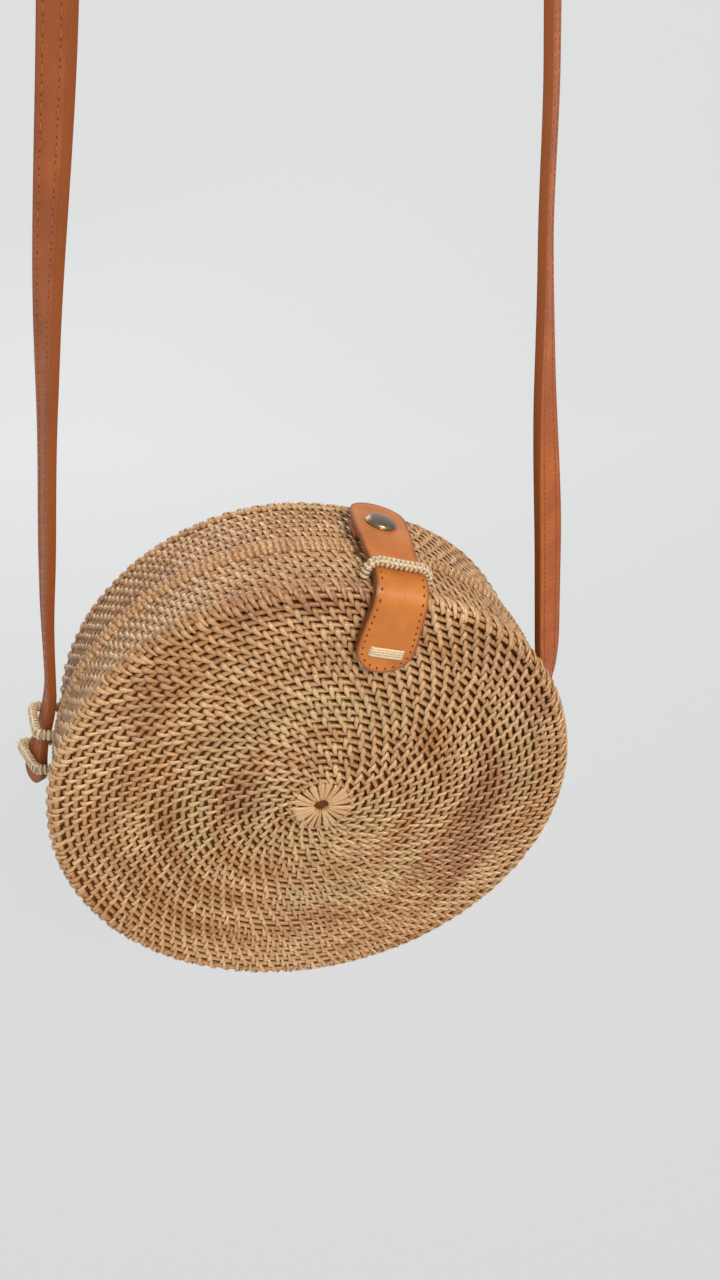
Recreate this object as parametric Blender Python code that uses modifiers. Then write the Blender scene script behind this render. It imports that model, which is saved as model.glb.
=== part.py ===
"""Round woven shoulder bag: two dish halves hinged at the bottom, closed on top by a
leather tab with a snap, and hung from a long leather strap.

The origin is the point that the strap hangs from. +Z is up and the front face looks along -Y.
The bag is modelled upright about its own centre, X right, Y to the back, Z to the tab, and an
empty then hangs it below the origin, rolled a little under its strap as it was seen.
Lengths are in metres and angles in degrees.
"""
import math

import bmesh
import bpy
from mathutils import Matrix, Vector

# Woven body
BAG_RADIUS = 0.100
BAG_DEPTH = 0.068
SEAM_FORWARD = 0.002
WALL_THICK = 0.0030
WALL_INSET = 0.0006
FACE_INSET = 0.0018
FACE_DISH = 0.0006
BACK_CROWN = 0.0025
BACK_FLAT_SHARE = 0.68
CENTRE_HOLE_RADIUS = 0.0022
RIM_COIL_RADIUS = 0.0045
MOUTH_COIL_RADIUS = 0.0019
LINING_THICK = 0.0010
LINING_CLEAR = 0.0011
FIT_GAP = 0.0003
WELD = 0.00001

# Bottom hinge loops
HINGE_DROP = 0.0003
HINGE_LOOP_RADIUS = 0.0068
HINGE_LOOP_THICK = 0.0018
HINGE_LOOP_SPREAD = 0.018
HINGE_SLOT_PLAY = 0.0005

# Front tab, its staple stitch and its wrapped loop
TAB_WIDTH = 0.021
TAB_LAYER = 0.0016
TAB_BACKING_LAYER = 0.0012
TAB_REACH = 0.033
STAPLE_ABOVE_TAB_END = 0.0088
STAPLE_SPAN = 0.0115
STAPLE_RADIUS = 0.0011
STAPLE_HOLE_PLAY = 0.0004
TAB_LOOP_BEHIND_RIM = 0.009
TAB_LOOP_RADIUS = 0.0020

# Snap flap, its press stud and the patch that the stud sits on
FLAP_BEHIND_LOOP = 0.0055
FLAP_LENGTH = 0.041
FLAP_RISE_SHARE = 0.30
FLAP_ROOT_GAP = 0.0003
PATCH_WIDTH = 0.019
PATCH_LENGTH = 0.0180
PATCH_LAYER = 0.0012
PATCH_STAPLE_BEFORE_END = 0.0042
PATCH_STAPLE_RADIUS = 0.0008
SNAP_BEHIND_SEAM = 0.0086
SNAP_CAP_RADIUS = 0.0061
SNAP_CAP_HEIGHT = 0.0026
SNAP_CAP_EDGE = 0.0007
SNAP_DISC_RADIUS = 0.0041
SNAP_DISC_HEIGHT = 0.0008
SNAP_NUB_RADIUS = 0.0022
SNAP_NUB_HEIGHT = 0.0003
SNAP_POST_RADIUS = 0.0016
SNAP_HOLE_PLAY = 0.0004

# Shoulder strap, its two held ends and the side loops
STRAP_WIDTH = 0.013
STRAP_THICK = 0.0036
STRAP_BEHIND_SEAM = 0.0125
HOOK_RADIUS = 0.012
HOOK_ABOVE_BAG = 0.551
HANG_TILT_DEG = 15.0
STRAP_TIP_DROP = 0.030
SIDE_LOOP_DROPS = (0.005, 0.021)
SIDE_LOOP_RADIUS = 0.0019
KNUCKLE_ABOVE_LOOP = 0.0032
KNUCKLE_LIFT_OFF = 0.016
STAND_OFF = {"left": 0.0, "right": 0.006}
STAND_OFF_GROWTH = 0.050
STAND_OFF_FADE = (0.300, 0.540)
TWIST_DEG = {"left": 40.0, "right": -46.0}
TWIST_IN_SHARE = 0.40
TWIST_OUT_SHARE = 0.70
LEG_STATIONS = 22
HOOK_STATIONS = 12
END_STATIONS = 14
TIP_STATIONS = 6

# Roundness of the facets
RING_STEPS = 60
COIL_SIDES = 8
SNAP_STEPS = 20
LOOP_ROUNDNESS = 2
HINGE_LOOP_STEPS = 24
ARC_STEPS = 5

# Values that follow from the sizes above
SEAM_Y = -SEAM_FORWARD
FRONT_DEPTH = BAG_DEPTH / 2 - SEAM_FORWARD
BACK_DEPTH = BAG_DEPTH / 2 + SEAM_FORWARD
WALL_RADIUS = BAG_RADIUS - WALL_INSET
STRAP_MID_RADIUS = WALL_RADIUS + FIT_GAP + STRAP_THICK / 2
STRAP_Y = SEAM_Y + STRAP_BEHIND_SEAM
HINGE_Z = -(BAG_RADIUS + HINGE_DROP)
RIM_COIL_CENTRE_RADIUS = BAG_RADIUS - RIM_COIL_RADIUS
HINGE_LOOP_REACH = HINGE_LOOP_RADIUS + HINGE_LOOP_THICK / 2

WEAVE = ("ata_weave", (0.36, 0.22, 0.12), 0.55, 0.0)
PALE = ("pale_rattan", (0.70, 0.48, 0.28), 0.5, 0.0)
LEATHER = ("tan_leather", (0.45, 0.13, 0.045), 0.5, 0.0)
BRASS = ("antique_brass", (0.30, 0.26, 0.19), 0.35, 1.0)
COTTON = ("cotton_lining", (0.55, 0.42, 0.28), 0.9, 0.0)


def clear_scene():
    """Start from an empty scene."""
    for obj in list(bpy.data.objects):
        bpy.data.objects.remove(obj, do_unlink=True)


def new_collection(name):
    """A collection linked to the scene."""
    group = bpy.data.collections.new(name)
    bpy.context.scene.collection.children.link(group)
    return group


def finish_material(spec):
    """One Principled material for each finish."""
    name, colour, roughness, metallic = spec
    mat = bpy.data.materials.get(name)
    if mat is None:
        mat = bpy.data.materials.new(name)
        mat.use_nodes = True
        shader = mat.node_tree.nodes["Principled BSDF"]
        shader.inputs["Base Color"].default_value = (*colour, 1.0)
        shader.inputs["Roughness"].default_value = roughness
        shader.inputs["Metallic"].default_value = metallic
    return mat


def new_empty(name, parent=None, place=(0, 0, 0), turn=(0, 0, 0)):
    """An empty that carries the pieces of one moving body."""
    empty = bpy.data.objects.new(name, None)
    PARTS.objects.link(empty)
    empty.parent = parent
    empty.location = place
    empty.rotation_euler = turn
    return empty


def add_piece(name, mesh, spec, parent, place=(0, 0, 0), turn=(0, 0, 0)):
    """One named sub-part with its material, placed on its body's empty in bag coordinates."""
    obj = bpy.data.objects.new(name, mesh)
    PARTS.objects.link(obj)
    obj.parent = parent
    obj.location = Vector(place) - AXIS_PLACES.get(parent.name, Vector((0, 0, 0)))
    obj.rotation_euler = turn
    mesh.materials.clear()
    mesh.materials.append(finish_material(spec))
    mesh.shade_smooth()
    return obj


def cut(obj, cutter):
    """Take the cutter's shape out of a piece."""
    hole = obj.modifiers.new("cut", "BOOLEAN")
    hole.operation = "DIFFERENCE"
    hole.solver = "EXACT"
    hole.object = cutter


def new_cutter(name, mesh, parent, place=(0, 0, 0), turn=(0, 0, 0)):
    """A cutting shape, kept out of the parts."""
    obj = bpy.data.objects.new(name, mesh)
    CUTTERS.objects.link(obj)
    obj.parent = parent
    obj.location = Vector(place) - AXIS_PLACES.get(parent.name, Vector((0, 0, 0)))
    obj.rotation_euler = turn
    obj.hide_render = True
    obj.display_type = "WIRE"
    return obj


def box_mesh(name, size):
    """A box centred on its own origin."""
    mesh = bpy.data.meshes.new(name)
    body = bmesh.new()
    bmesh.ops.create_cube(body, size=1.0, matrix=Matrix.Diagonal((*size, 1.0)))
    body.to_mesh(mesh)
    body.free()
    return mesh


def pin_mesh(name, radius, length):
    """A round pin along Z, centred on its own origin."""
    mesh = bpy.data.meshes.new(name)
    body = bmesh.new()
    bmesh.ops.create_cone(body, cap_ends=True, segments=SNAP_STEPS, radius1=radius,
                          radius2=radius, depth=length)
    body.to_mesh(mesh)
    body.free()
    return mesh


def turned(name, profile, closed, spec, parent, place, turn, steps):
    """A profile in radius and height, turned once round its own Z axis."""
    mesh = bpy.data.meshes.new(name)
    body = bmesh.new()
    points = [body.verts.new((radius, 0, height)) for radius, height in profile]
    for start, end in zip(points, points[1:] + points[:1] if closed else points[1:]):
        body.edges.new((start, end))
    body.to_mesh(mesh)
    body.free()
    obj = add_piece(name, mesh, spec, parent, place, turn)
    screw = obj.modifiers.new("turn", "SCREW")
    screw.angle = math.tau
    screw.steps = steps
    screw.render_steps = steps
    screw.use_merge_vertices = True
    screw.merge_threshold = WELD
    return obj


def tube_mesh(name, points, radius, cyclic=False):
    """A tube along a line of points, its caps closed and welded."""
    line = bpy.data.curves.new(name, "CURVE")
    line.dimensions = "3D"
    line.bevel_depth = radius
    line.bevel_resolution = LOOP_ROUNDNESS
    line.use_fill_caps = not cyclic
    spline = line.splines.new("POLY")
    spline.points.add(len(points) - 1)
    for knot, point in zip(spline.points, points):
        knot.co = (*point, 1.0)
    spline.use_cyclic_u = cyclic
    source = bpy.data.objects.new(name + "_line", line)
    CUTTERS.objects.link(source)
    bpy.context.view_layer.update()
    mesh = bpy.data.meshes.new_from_object(source.evaluated_get(bpy.context.evaluated_depsgraph_get()))
    bpy.data.objects.remove(source, do_unlink=True)
    body = bmesh.new()
    body.from_mesh(mesh)
    bmesh.ops.remove_doubles(body, verts=body.verts, dist=WELD)
    bmesh.ops.recalc_face_normals(body, faces=body.faces)
    body.to_mesh(mesh)
    body.free()
    return mesh


def arch_points(half_span, foot, crest, radius):
    """Middle line of a flat-topped arch of a tube, across and out, from one foot to the other."""
    corner = radius + 2 * FIT_GAP
    side = [(half_span, foot)]
    for step in range(ARC_STEPS + 1):
        angle = math.pi / 2 * step / ARC_STEPS
        side.append((half_span - corner * (1 - math.cos(angle)), crest - corner * (1 - math.sin(angle))))
    return [(-across, out) for across, out in side] + list(reversed(side))


def ribbon(name, stations, low, high, spec, parent):
    """A flat strip lofted through stations of centre, width direction, normal and half width."""
    origin = AXIS_PLACES.get(parent.name, Vector((0, 0, 0)))
    mesh = bpy.data.meshes.new(name)
    body = bmesh.new()
    rings = []
    for centre, across, normal, half in stations:
        corners = ((-half, low), (half, low), (half, high), (-half, high))
        rings.append([body.verts.new(centre - origin + across * side + normal * out)
                      for side, out in corners])
    for ring, following in zip(rings, rings[1:]):
        for corner in range(len(ring)):
            after = (corner + 1) % len(ring)
            body.faces.new((ring[corner], ring[after], following[after], following[corner]))
    body.faces.new(rings[0])
    body.faces.new(rings[-1])
    bmesh.ops.recalc_face_normals(body, faces=body.faces)
    body.to_mesh(mesh)
    body.free()
    return add_piece(name, mesh, spec, parent, origin)


def round_tip(half, along):
    """Half width of a strip at a distance along its rounded end."""
    if along >= half:
        return half
    return math.sqrt(max(half * half - (half - along) ** 2, 0))


def tip_distances(half):
    """Distances along a rounded end at which the strip has a station."""
    return [half * (1 - math.cos(math.pi / 2 * (step + 1) / TIP_STATIONS)) for step in range(TIP_STATIONS)]


def half_profile(depth, crown):
    """Closed section of one woven dish, in radius and distance from the seam, outer side downwards."""
    clear = RIM_COIL_RADIUS + FIT_GAP
    flank = clear * math.tan(math.pi / 8)
    coil_height = depth - RIM_COIL_RADIUS
    mouth = 2 * MOUTH_COIL_RADIUS + 2 * FIT_GAP
    step_radius = RIM_COIL_CENTRE_RADIUS - clear
    face = depth - FACE_INSET
    slope = WALL_THICK * math.tan(math.pi / 8)
    inner_radius = WALL_RADIUS - WALL_THICK
    inner_face = face - WALL_THICK
    diagonal = (RIM_COIL_CENTRE_RADIUS - flank) + (coil_height - clear) - WALL_THICK * math.sqrt(2)
    outer = [(WALL_RADIUS, mouth), (WALL_RADIUS, coil_height - clear),
             (RIM_COIL_CENTRE_RADIUS - flank, coil_height - clear),
             (step_radius, coil_height - flank), (step_radius, face)]
    inner = [(diagonal - inner_face, inner_face), (inner_radius, diagonal - inner_radius),
             (inner_radius, mouth)]
    if crown > 0:
        flat = BAG_RADIUS * BACK_FLAT_SHARE
        middle = [(flat, depth + crown), (CENTRE_HOLE_RADIUS, depth + crown),
                  (CENTRE_HOLE_RADIUS, depth + crown - WALL_THICK),
                  (flat - slope, depth + crown - WALL_THICK)]
    else:
        middle = [(CENTRE_HOLE_RADIUS, face - FACE_DISH),
                  (CENTRE_HOLE_RADIUS, face - FACE_DISH - WALL_THICK)]
    return list(reversed(outer + middle + inner))


def lining_profile(depth, crown):
    """Closed section of the cloth that lies inside one dish."""
    clear = RIM_COIL_RADIUS + FIT_GAP
    flank = clear * math.tan(math.pi / 8)
    face = depth - FACE_INSET
    inset = WALL_THICK + FIT_GAP
    diagonal = (RIM_COIL_CENTRE_RADIUS - flank) + (depth - RIM_COIL_RADIUS - clear)
    if crown > 0:
        middle_height = depth + crown
        flat = BAG_RADIUS * BACK_FLAT_SHARE
    else:
        middle_height = face - FACE_DISH
        flat = CENTRE_HOLE_RADIUS

    def side(depth_in):
        radius = WALL_RADIUS - depth_in
        level = face - depth_in
        bevel = diagonal - depth_in * math.sqrt(2)
        return [(radius, HINGE_LOOP_REACH + LINING_CLEAR), (radius, bevel - radius), (bevel - level, level),
                (max(flat - depth_in * math.tan(math.pi / 8), 0), middle_height - depth_in)]

    outside = side(inset)
    inside = side(inset + LINING_THICK)
    if crown > 0:
        outside.append((0, outside[-1][1]))
        inside.append((0, inside[-1][1]))
    else:
        outside[-1] = (0, outside[-1][1])
        inside[-1] = (0, inside[-1][1])
    return list(reversed(outside)) + inside


def ring_profile(centre_radius, height, radius, sides):
    """Round section of a coil of rattan."""
    turns = [math.tau * (side + 0.5) / sides for side in range(sides)]
    return [(centre_radius + radius * math.cos(turn), height - radius * math.sin(turn)) for turn in turns]


def make_half(side, depth, crown, parent, turn):
    """One woven dish with its rim coil, mouth coil and lining."""
    seat = (0, SEAM_Y, 0)
    shell = turned(side + "_shell", half_profile(depth, crown), True, WEAVE, parent, seat, turn, RING_STEPS)
    turned(side + "_rim_coil", ring_profile(RIM_COIL_CENTRE_RADIUS, depth - RIM_COIL_RADIUS,
           RIM_COIL_RADIUS, COIL_SIDES), True, WEAVE, parent, seat, turn, RING_STEPS)
    turned(side + "_mouth_coil", ring_profile(BAG_RADIUS - MOUTH_COIL_RADIUS, MOUTH_COIL_RADIUS + FIT_GAP / 2,
           MOUTH_COIL_RADIUS, COIL_SIDES), True, WEAVE, parent, seat, turn, RING_STEPS)
    turned(side + "_lining", lining_profile(depth, crown), False, COTTON, parent, seat, turn, RING_STEPS)
    return shell


def hinge_slots(shell, side, facing, parent):
    """Slots at the mouth's bottom that the hinge loops pass through."""
    start = MOUTH_COIL_RADIUS
    end = HINGE_LOOP_REACH + HINGE_SLOT_PLAY
    width = HINGE_LOOP_THICK + 2 * HINGE_SLOT_PLAY
    for sign in (-1, 1):
        middle = SEAM_Y + facing * (start + end) / 2
        mesh = box_mesh("slot", (width, end - start, 4 * WALL_THICK))
        place = (sign * HINGE_LOOP_SPREAD / 2, middle, -WALL_RADIUS)
        cut(shell, new_cutter(f"{side}_slot_{'left' if sign < 0 else 'right'}", mesh, parent, place))


def make_hinge_loops(parent):
    """Two closed rattan loops round both mouth coils, centred on the lid's hinge line."""
    for sign, side in ((-1, "left"), (1, "right")):
        turns = [math.tau * step / HINGE_LOOP_STEPS for step in range(HINGE_LOOP_STEPS)]
        points = [(0, HINGE_LOOP_RADIUS * math.cos(turn), HINGE_LOOP_RADIUS * math.sin(turn))
                  for turn in turns]
        mesh = tube_mesh("hinge_loop_" + side, points, HINGE_LOOP_THICK / 2, cyclic=True)
        add_piece("hinge_loop_" + side, mesh, PALE, parent, (sign * HINGE_LOOP_SPREAD / 2, SEAM_Y, HINGE_Z))


def front_face_y(height):
    """Y of the woven front face at a height on the bag's middle line."""
    share = height / (RIM_COIL_CENTRE_RADIUS - RIM_COIL_RADIUS - FIT_GAP)
    return SEAM_Y - (FRONT_DEPTH - FACE_INSET - FACE_DISH * (1 - share))


def tab_route():
    """Inner surface of the front tab in Y and Z, from its low end to the flap's root."""
    low = BAG_RADIUS - TAB_REACH
    bend = RIM_COIL_RADIUS + FIT_GAP
    coil_y = SEAM_Y - (FRONT_DEPTH - RIM_COIL_RADIUS)
    points = [(front_face_y(low) - FIT_GAP, low)]
    for step in range(ARC_STEPS * 2 + 1):
        angle = math.pi / 2 * step / (ARC_STEPS * 2)
        points.append((coil_y - bend * math.cos(angle), RIM_COIL_CENTRE_RADIUS + bend * math.sin(angle)))
    points.append((flap_root_y() - FLAP_ROOT_GAP / 2, RIM_COIL_CENTRE_RADIUS + bend))
    return [Vector((0, y, z)) for y, z in points]


def flap_root_y():
    """Y where the flap begins to lift, just behind the wrapped loop."""
    return -BAG_DEPTH / 2 + TAB_LOOP_BEHIND_RIM + TAB_LOOP_RADIUS + FLAP_BEHIND_LOOP


def tab_top():
    """Height of the front tab's upper surface behind the rim."""
    return RIM_COIL_CENTRE_RADIUS + RIM_COIL_RADIUS + 2 * FIT_GAP + TAB_BACKING_LAYER + TAB_LAYER


def route_stations(route, half, rounded_start, rounded_end):
    """Stations along a route of points, with the strip's width along X."""
    lengths = [0.0]
    for start, end in zip(route, route[1:]):
        lengths.append(lengths[-1] + (end - start).length)
    total = lengths[-1]
    marks = set(lengths[1:-1])
    if rounded_start:
        marks.update(tip_distances(half))
        marks = {mark for mark in marks if mark >= tip_distances(half)[0]}
    else:
        marks.add(0.0)
    if rounded_end:
        marks.update(total - mark for mark in tip_distances(half))
        marks = {mark for mark in marks if mark <= total - tip_distances(half)[0]}
    else:
        marks.add(total)
    stations = []
    across = Vector((1, 0, 0))
    for mark in sorted(marks):
        index = max(i for i, length in enumerate(lengths[:-1]) if length <= mark)
        step = route[index + 1] - route[index]
        centre = route[index] + step * ((mark - lengths[index]) / step.length)
        back = route[index] - route[index - 1] if index > 0 and mark == lengths[index] else step
        tangent = (back.normalized() + step.normalized()).normalized()
        width = half
        if rounded_start:
            width = min(width, round_tip(half, mark))
        if rounded_end:
            width = min(width, round_tip(half, total - mark))
        stations.append((centre, across, across.cross(tangent), width))
    return stations


def make_front_tab(parent):
    """The stitched double tab on the front half, with its staple stitch and wrapped loop."""
    stations = route_stations(tab_route(), TAB_WIDTH / 2, True, False)
    layer_low = TAB_BACKING_LAYER + FIT_GAP
    backing = ribbon("front_tab_backing", stations, 0, TAB_BACKING_LAYER, LEATHER, parent)
    tab = ribbon("front_tab", stations, layer_low, layer_low + TAB_LAYER, LEATHER, parent)

    staple_z = BAG_RADIUS - TAB_REACH + STAPLE_ABOVE_TAB_END
    route = tab_route()
    slope = (staple_z - route[0].z) / (route[1].z - route[0].z)
    tab_back = route[0].y + (route[1].y - route[0].y) * slope
    crest = tab_back - layer_low - TAB_LAYER - FIT_GAP - STAPLE_RADIUS
    foot = front_face_y(staple_z) - FIT_GAP
    half = STAPLE_SPAN / 2
    points = [(across, -out, staple_z) for across, out in arch_points(half, -foot, -crest, STAPLE_RADIUS)]
    mesh = tube_mesh("front_tab_staple", points, STAPLE_RADIUS)
    add_piece("front_tab_staple", mesh, PALE, parent)
    for sign in (-1, 1):
        hole = pin_mesh("hole", STAPLE_RADIUS + STAPLE_HOLE_PLAY, 4 * (layer_low + TAB_LAYER))
        cutter = new_cutter(f"front_staple_hole_{sign}", hole, parent,
                            (sign * half, tab_back, staple_z), (math.pi / 2, 0, 0))
        cut(backing, cutter)
        cut(tab, cutter)

    span = TAB_WIDTH / 2 + FIT_GAP + TAB_LOOP_RADIUS
    loop_y = -BAG_DEPTH / 2 + TAB_LOOP_BEHIND_RIM
    foot = math.sqrt(WALL_RADIUS ** 2 - (span - TAB_LOOP_RADIUS) ** 2) + FIT_GAP
    crest = tab_top() + FIT_GAP + TAB_LOOP_RADIUS
    points = [(across, loop_y, out) for across, out in arch_points(span, foot, crest, TAB_LOOP_RADIUS)]
    mesh = tube_mesh("front_tab_loop", points, TAB_LOOP_RADIUS)
    add_piece("front_tab_loop", mesh, PALE, parent)


def snap_levels():
    """Heights of the press stud's stack, from the patch's underside to the flap's underside."""
    patch = WALL_RADIUS + FIT_GAP
    stud = patch + PATCH_LAYER + FIT_GAP
    socket = stud + SNAP_DISC_HEIGHT + SNAP_NUB_HEIGHT + FIT_GAP
    flap = socket + SNAP_DISC_HEIGHT + FIT_GAP
    return patch, stud, socket, flap


def make_snap_flap(parent):
    """The single flap with the snap's cap, post and socket."""
    _, _, socket_z, flap_z = snap_levels()
    root_y = flap_root_y() + FLAP_ROOT_GAP / 2
    root_z = tab_top() - TAB_LAYER
    snap_y = SEAM_Y + SNAP_BEHIND_SEAM
    route = [Vector((0, root_y, root_z)),
             Vector((0, root_y + FLAP_LENGTH * FLAP_RISE_SHARE, flap_z)),
             Vector((0, root_y + FLAP_LENGTH, flap_z))]
    stations = route_stations(route, TAB_WIDTH / 2, False, True)
    flap = ribbon("snap_flap", stations, 0, TAB_LAYER, LEATHER, parent)
    hole = pin_mesh("hole", SNAP_POST_RADIUS + SNAP_HOLE_PLAY, 4 * TAB_LAYER)
    cut(flap, new_cutter("snap_post_hole", hole, parent, (0, snap_y, flap_z + TAB_LAYER / 2)))

    top = flap_z + TAB_LAYER + FIT_GAP
    dome = []
    for step in range(ARC_STEPS + 1):
        angle = math.pi / 2 * (1 - step / ARC_STEPS)
        rise = SNAP_CAP_EDGE + (SNAP_CAP_HEIGHT - SNAP_CAP_EDGE) * math.sin(angle)
        dome.append((SNAP_CAP_RADIUS * math.cos(angle) if step else 0, rise))
    dome += [(SNAP_CAP_RADIUS, 0), (0, 0)]
    turned("snap_cap", dome, False, BRASS, parent, (0, snap_y, top), (0, 0, 0), SNAP_STEPS)
    length = top - socket_z - SNAP_DISC_HEIGHT - 2 * FIT_GAP
    middle = socket_z + SNAP_DISC_HEIGHT + FIT_GAP + length / 2
    mesh = pin_mesh("snap_post", SNAP_POST_RADIUS, length)
    add_piece("snap_post", mesh, BRASS, parent, (0, snap_y, middle))
    mesh = pin_mesh("snap_socket", SNAP_DISC_RADIUS, SNAP_DISC_HEIGHT)
    add_piece("snap_socket", mesh, BRASS, parent, (0, snap_y, socket_z + SNAP_DISC_HEIGHT / 2))


def make_stud_patch(parent):
    """The leather patch on the back half, its stud and rivet, and the stitch that holds it."""
    patch_z, stud_z, _, _ = snap_levels()
    start_y = SEAM_Y + 2 * MOUTH_COIL_RADIUS + 2 * FIT_GAP
    snap_y = SEAM_Y + SNAP_BEHIND_SEAM
    route = [Vector((0, start_y, patch_z)), Vector((0, start_y + PATCH_LENGTH, patch_z))]
    stations = route_stations(route, PATCH_WIDTH / 2, False, True)
    patch = ribbon("stud_patch", stations, 0, PATCH_LAYER, LEATHER, parent)
    hole = pin_mesh("hole", SNAP_POST_RADIUS + SNAP_HOLE_PLAY, 4 * PATCH_LAYER)
    cut(patch, new_cutter("rivet_hole", hole, parent, (0, snap_y, patch_z)))
    mesh = pin_mesh("stud_rivet", SNAP_POST_RADIUS, PATCH_LAYER)
    add_piece("stud_rivet", mesh, BRASS, parent, (0, snap_y, patch_z + PATCH_LAYER / 2))
    stud = [(0, SNAP_DISC_HEIGHT + SNAP_NUB_HEIGHT), (SNAP_NUB_RADIUS, SNAP_DISC_HEIGHT + SNAP_NUB_HEIGHT),
            (SNAP_NUB_RADIUS, SNAP_DISC_HEIGHT), (SNAP_DISC_RADIUS, SNAP_DISC_HEIGHT),
            (SNAP_DISC_RADIUS, 0), (0, 0)]
    turned("snap_stud", stud, False, BRASS, parent, (0, snap_y, stud_z), (0, 0, 0), SNAP_STEPS)

    staple_y = start_y + PATCH_LENGTH - PATCH_STAPLE_BEFORE_END
    half = STAPLE_SPAN / 2
    foot = WALL_RADIUS + FIT_GAP
    crest = patch_z + PATCH_LAYER + FIT_GAP + PATCH_STAPLE_RADIUS
    points = [(across, staple_y, out) for across, out in arch_points(half, foot, crest, PATCH_STAPLE_RADIUS)]
    mesh = tube_mesh("stud_patch_staple", points, PATCH_STAPLE_RADIUS)
    add_piece("stud_patch_staple", mesh, PALE, parent)
    for sign in (-1, 1):
        hole = pin_mesh("hole", PATCH_STAPLE_RADIUS + STAPLE_HOLE_PLAY, 4 * PATCH_LAYER)
        cut(patch, new_cutter(f"patch_staple_hole_{sign}", hole, parent, (sign * half, staple_y, patch_z)))


def belt_frame():
    """The strap's line round the bag and the hook: the lean of its middle and its half opening."""
    hook = HOOK_RADIUS + STRAP_THICK / 2
    lean = -math.radians(HANG_TILT_DEG)
    opening = math.asin((STRAP_MID_RADIUS - hook) / HOOK_ABOVE_BAG)
    return hook, lean, opening


def strap_side(side):
    """Sign of X, tangent angle above the horizontal and leg length on one side."""
    _, lean, opening = belt_frame()
    sign = -1 if side == "left" else 1
    rise = sign * -lean + opening
    length = HOOK_ABOVE_BAG * math.cos(opening)
    return sign, rise, length


def strap_point(side, along):
    """Centre, direction and outward normal of the strap, from its low tip up one side."""
    sign, rise, _ = strap_side(side)
    low = -math.asin(STRAP_TIP_DROP / STRAP_MID_RADIUS)
    hugging = (rise - low) * STRAP_MID_RADIUS
    angle = low + min(along, hugging) / STRAP_MID_RADIUS
    normal = Vector((sign * math.cos(angle), 0, math.sin(angle)))
    direction = Vector((-sign * math.sin(angle), 0, math.cos(angle)))
    centre = Vector((0, STRAP_Y, 0)) + normal * STRAP_MID_RADIUS
    centre += stand_off(side, along, low, hugging)
    return centre + direction * max(along - hugging, 0), direction, normal


def stand_off(side, along, low, hugging):
    """How far the stiff strap stands off above its upper loop, level with the ground."""
    tilt = math.radians(HANG_TILT_DEG)
    sign = -1 if side == "left" else 1
    loop_top = (-math.asin(min(SIDE_LOOP_DROPS) / STRAP_MID_RADIUS) - low) * STRAP_MID_RADIUS
    loop_top += SIDE_LOOP_RADIUS + KNUCKLE_ABOVE_LOOP
    fade_start, fade_end = STAND_OFF_FADE
    share = smooth_share((along - loop_top) / STAND_OFF_GROWTH)
    share *= 1 - smooth_share((along - hugging - fade_start) / (fade_end - fade_start))
    return Vector((math.cos(tilt), 0, math.sin(tilt))) * (sign * STAND_OFF[side] * share)


def strap_marks(side):
    """Distances from the low tip to the end piece's top, the swing line and the hook."""
    _, rise, leg = strap_side(side)
    low = -math.asin(STRAP_TIP_DROP / STRAP_MID_RADIUS)
    hugging = (rise - low) * STRAP_MID_RADIUS
    upper_loop = (-math.asin(min(SIDE_LOOP_DROPS) / STRAP_MID_RADIUS) - low) * STRAP_MID_RADIUS
    top = max(upper_loop + SIDE_LOOP_RADIUS + KNUCKLE_ABOVE_LOOP, hugging + KNUCKLE_LIFT_OFF)
    swing = top + STRAP_WIDTH / 2 + FIT_GAP
    return top, swing, hugging + leg


def make_strap_end(side, parent):
    """The strap's held end, which lies on the side wall under the two side loops."""
    top, _, _ = strap_marks(side)
    half = STRAP_WIDTH / 2
    marks = sorted(set(tip_distances(half)) | {half + (top - half) * step / END_STATIONS
                                               for step in range(1, END_STATIONS + 1)})
    stations = []
    for mark in marks:
        centre, _, normal = strap_point(side, mark)
        stations.append((centre, Vector((0, 1, 0)), normal, round_tip(half, mark)))
    ribbon("strap_end_" + side, stations, -STRAP_THICK / 2, STRAP_THICK / 2, LEATHER, parent)


def make_side_loops(side, parent):
    """The two wrapped rattan loops that hold the strap on one side."""
    sign = -1 if side == "left" else 1
    span = STRAP_WIDTH / 2 + FIT_GAP + SIDE_LOOP_RADIUS
    foot = BAG_RADIUS + FIT_GAP
    crest = STRAP_MID_RADIUS + STRAP_THICK / 2 + FIT_GAP + SIDE_LOOP_RADIUS
    for level, drop in zip(("upper", "lower"), SIDE_LOOP_DROPS):
        angle = -math.asin(drop / STRAP_MID_RADIUS)
        out_way = Vector((sign * math.cos(angle), 0, math.sin(angle)))
        points = [Vector((0, STRAP_Y + across, 0)) + out_way * out
                  for across, out in arch_points(span, foot, crest, SIDE_LOOP_RADIUS)]
        name = f"side_loop_{side}_{level}"
        add_piece(name, tube_mesh(name, points, SIDE_LOOP_RADIUS), PALE, parent)


def smooth_share(value):
    """Ease from 0 to 1."""
    value = min(max(value, 0.0), 1.0)
    return value * value * (3 - 2 * value)


def leg_stations(side):
    """Stations of one strap leg from its rounded foot on the swing line up to the hook."""
    _, swing, top = strap_marks(side)
    half = STRAP_WIDTH / 2
    foot = swing - half
    marks = [foot + mark for mark in tip_distances(half)]
    marks += [swing + (top - swing) * step / LEG_STATIONS for step in range(1, LEG_STATIONS)]
    stations = []
    for mark in marks:
        centre, direction, normal = strap_point(side, mark)
        share = max(mark - swing, 0) / (top - swing)
        ease = smooth_share(share / TWIST_IN_SHARE)
        ease -= smooth_share((share - TWIST_OUT_SHARE) / (1 - TWIST_OUT_SHARE))
        twist = Matrix.Rotation(math.radians(TWIST_DEG[side]) * ease, 3, direction)
        stations.append((centre, twist @ Vector((0, 1, 0)), twist @ normal, round_tip(half, mark - foot)))
    return stations


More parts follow.
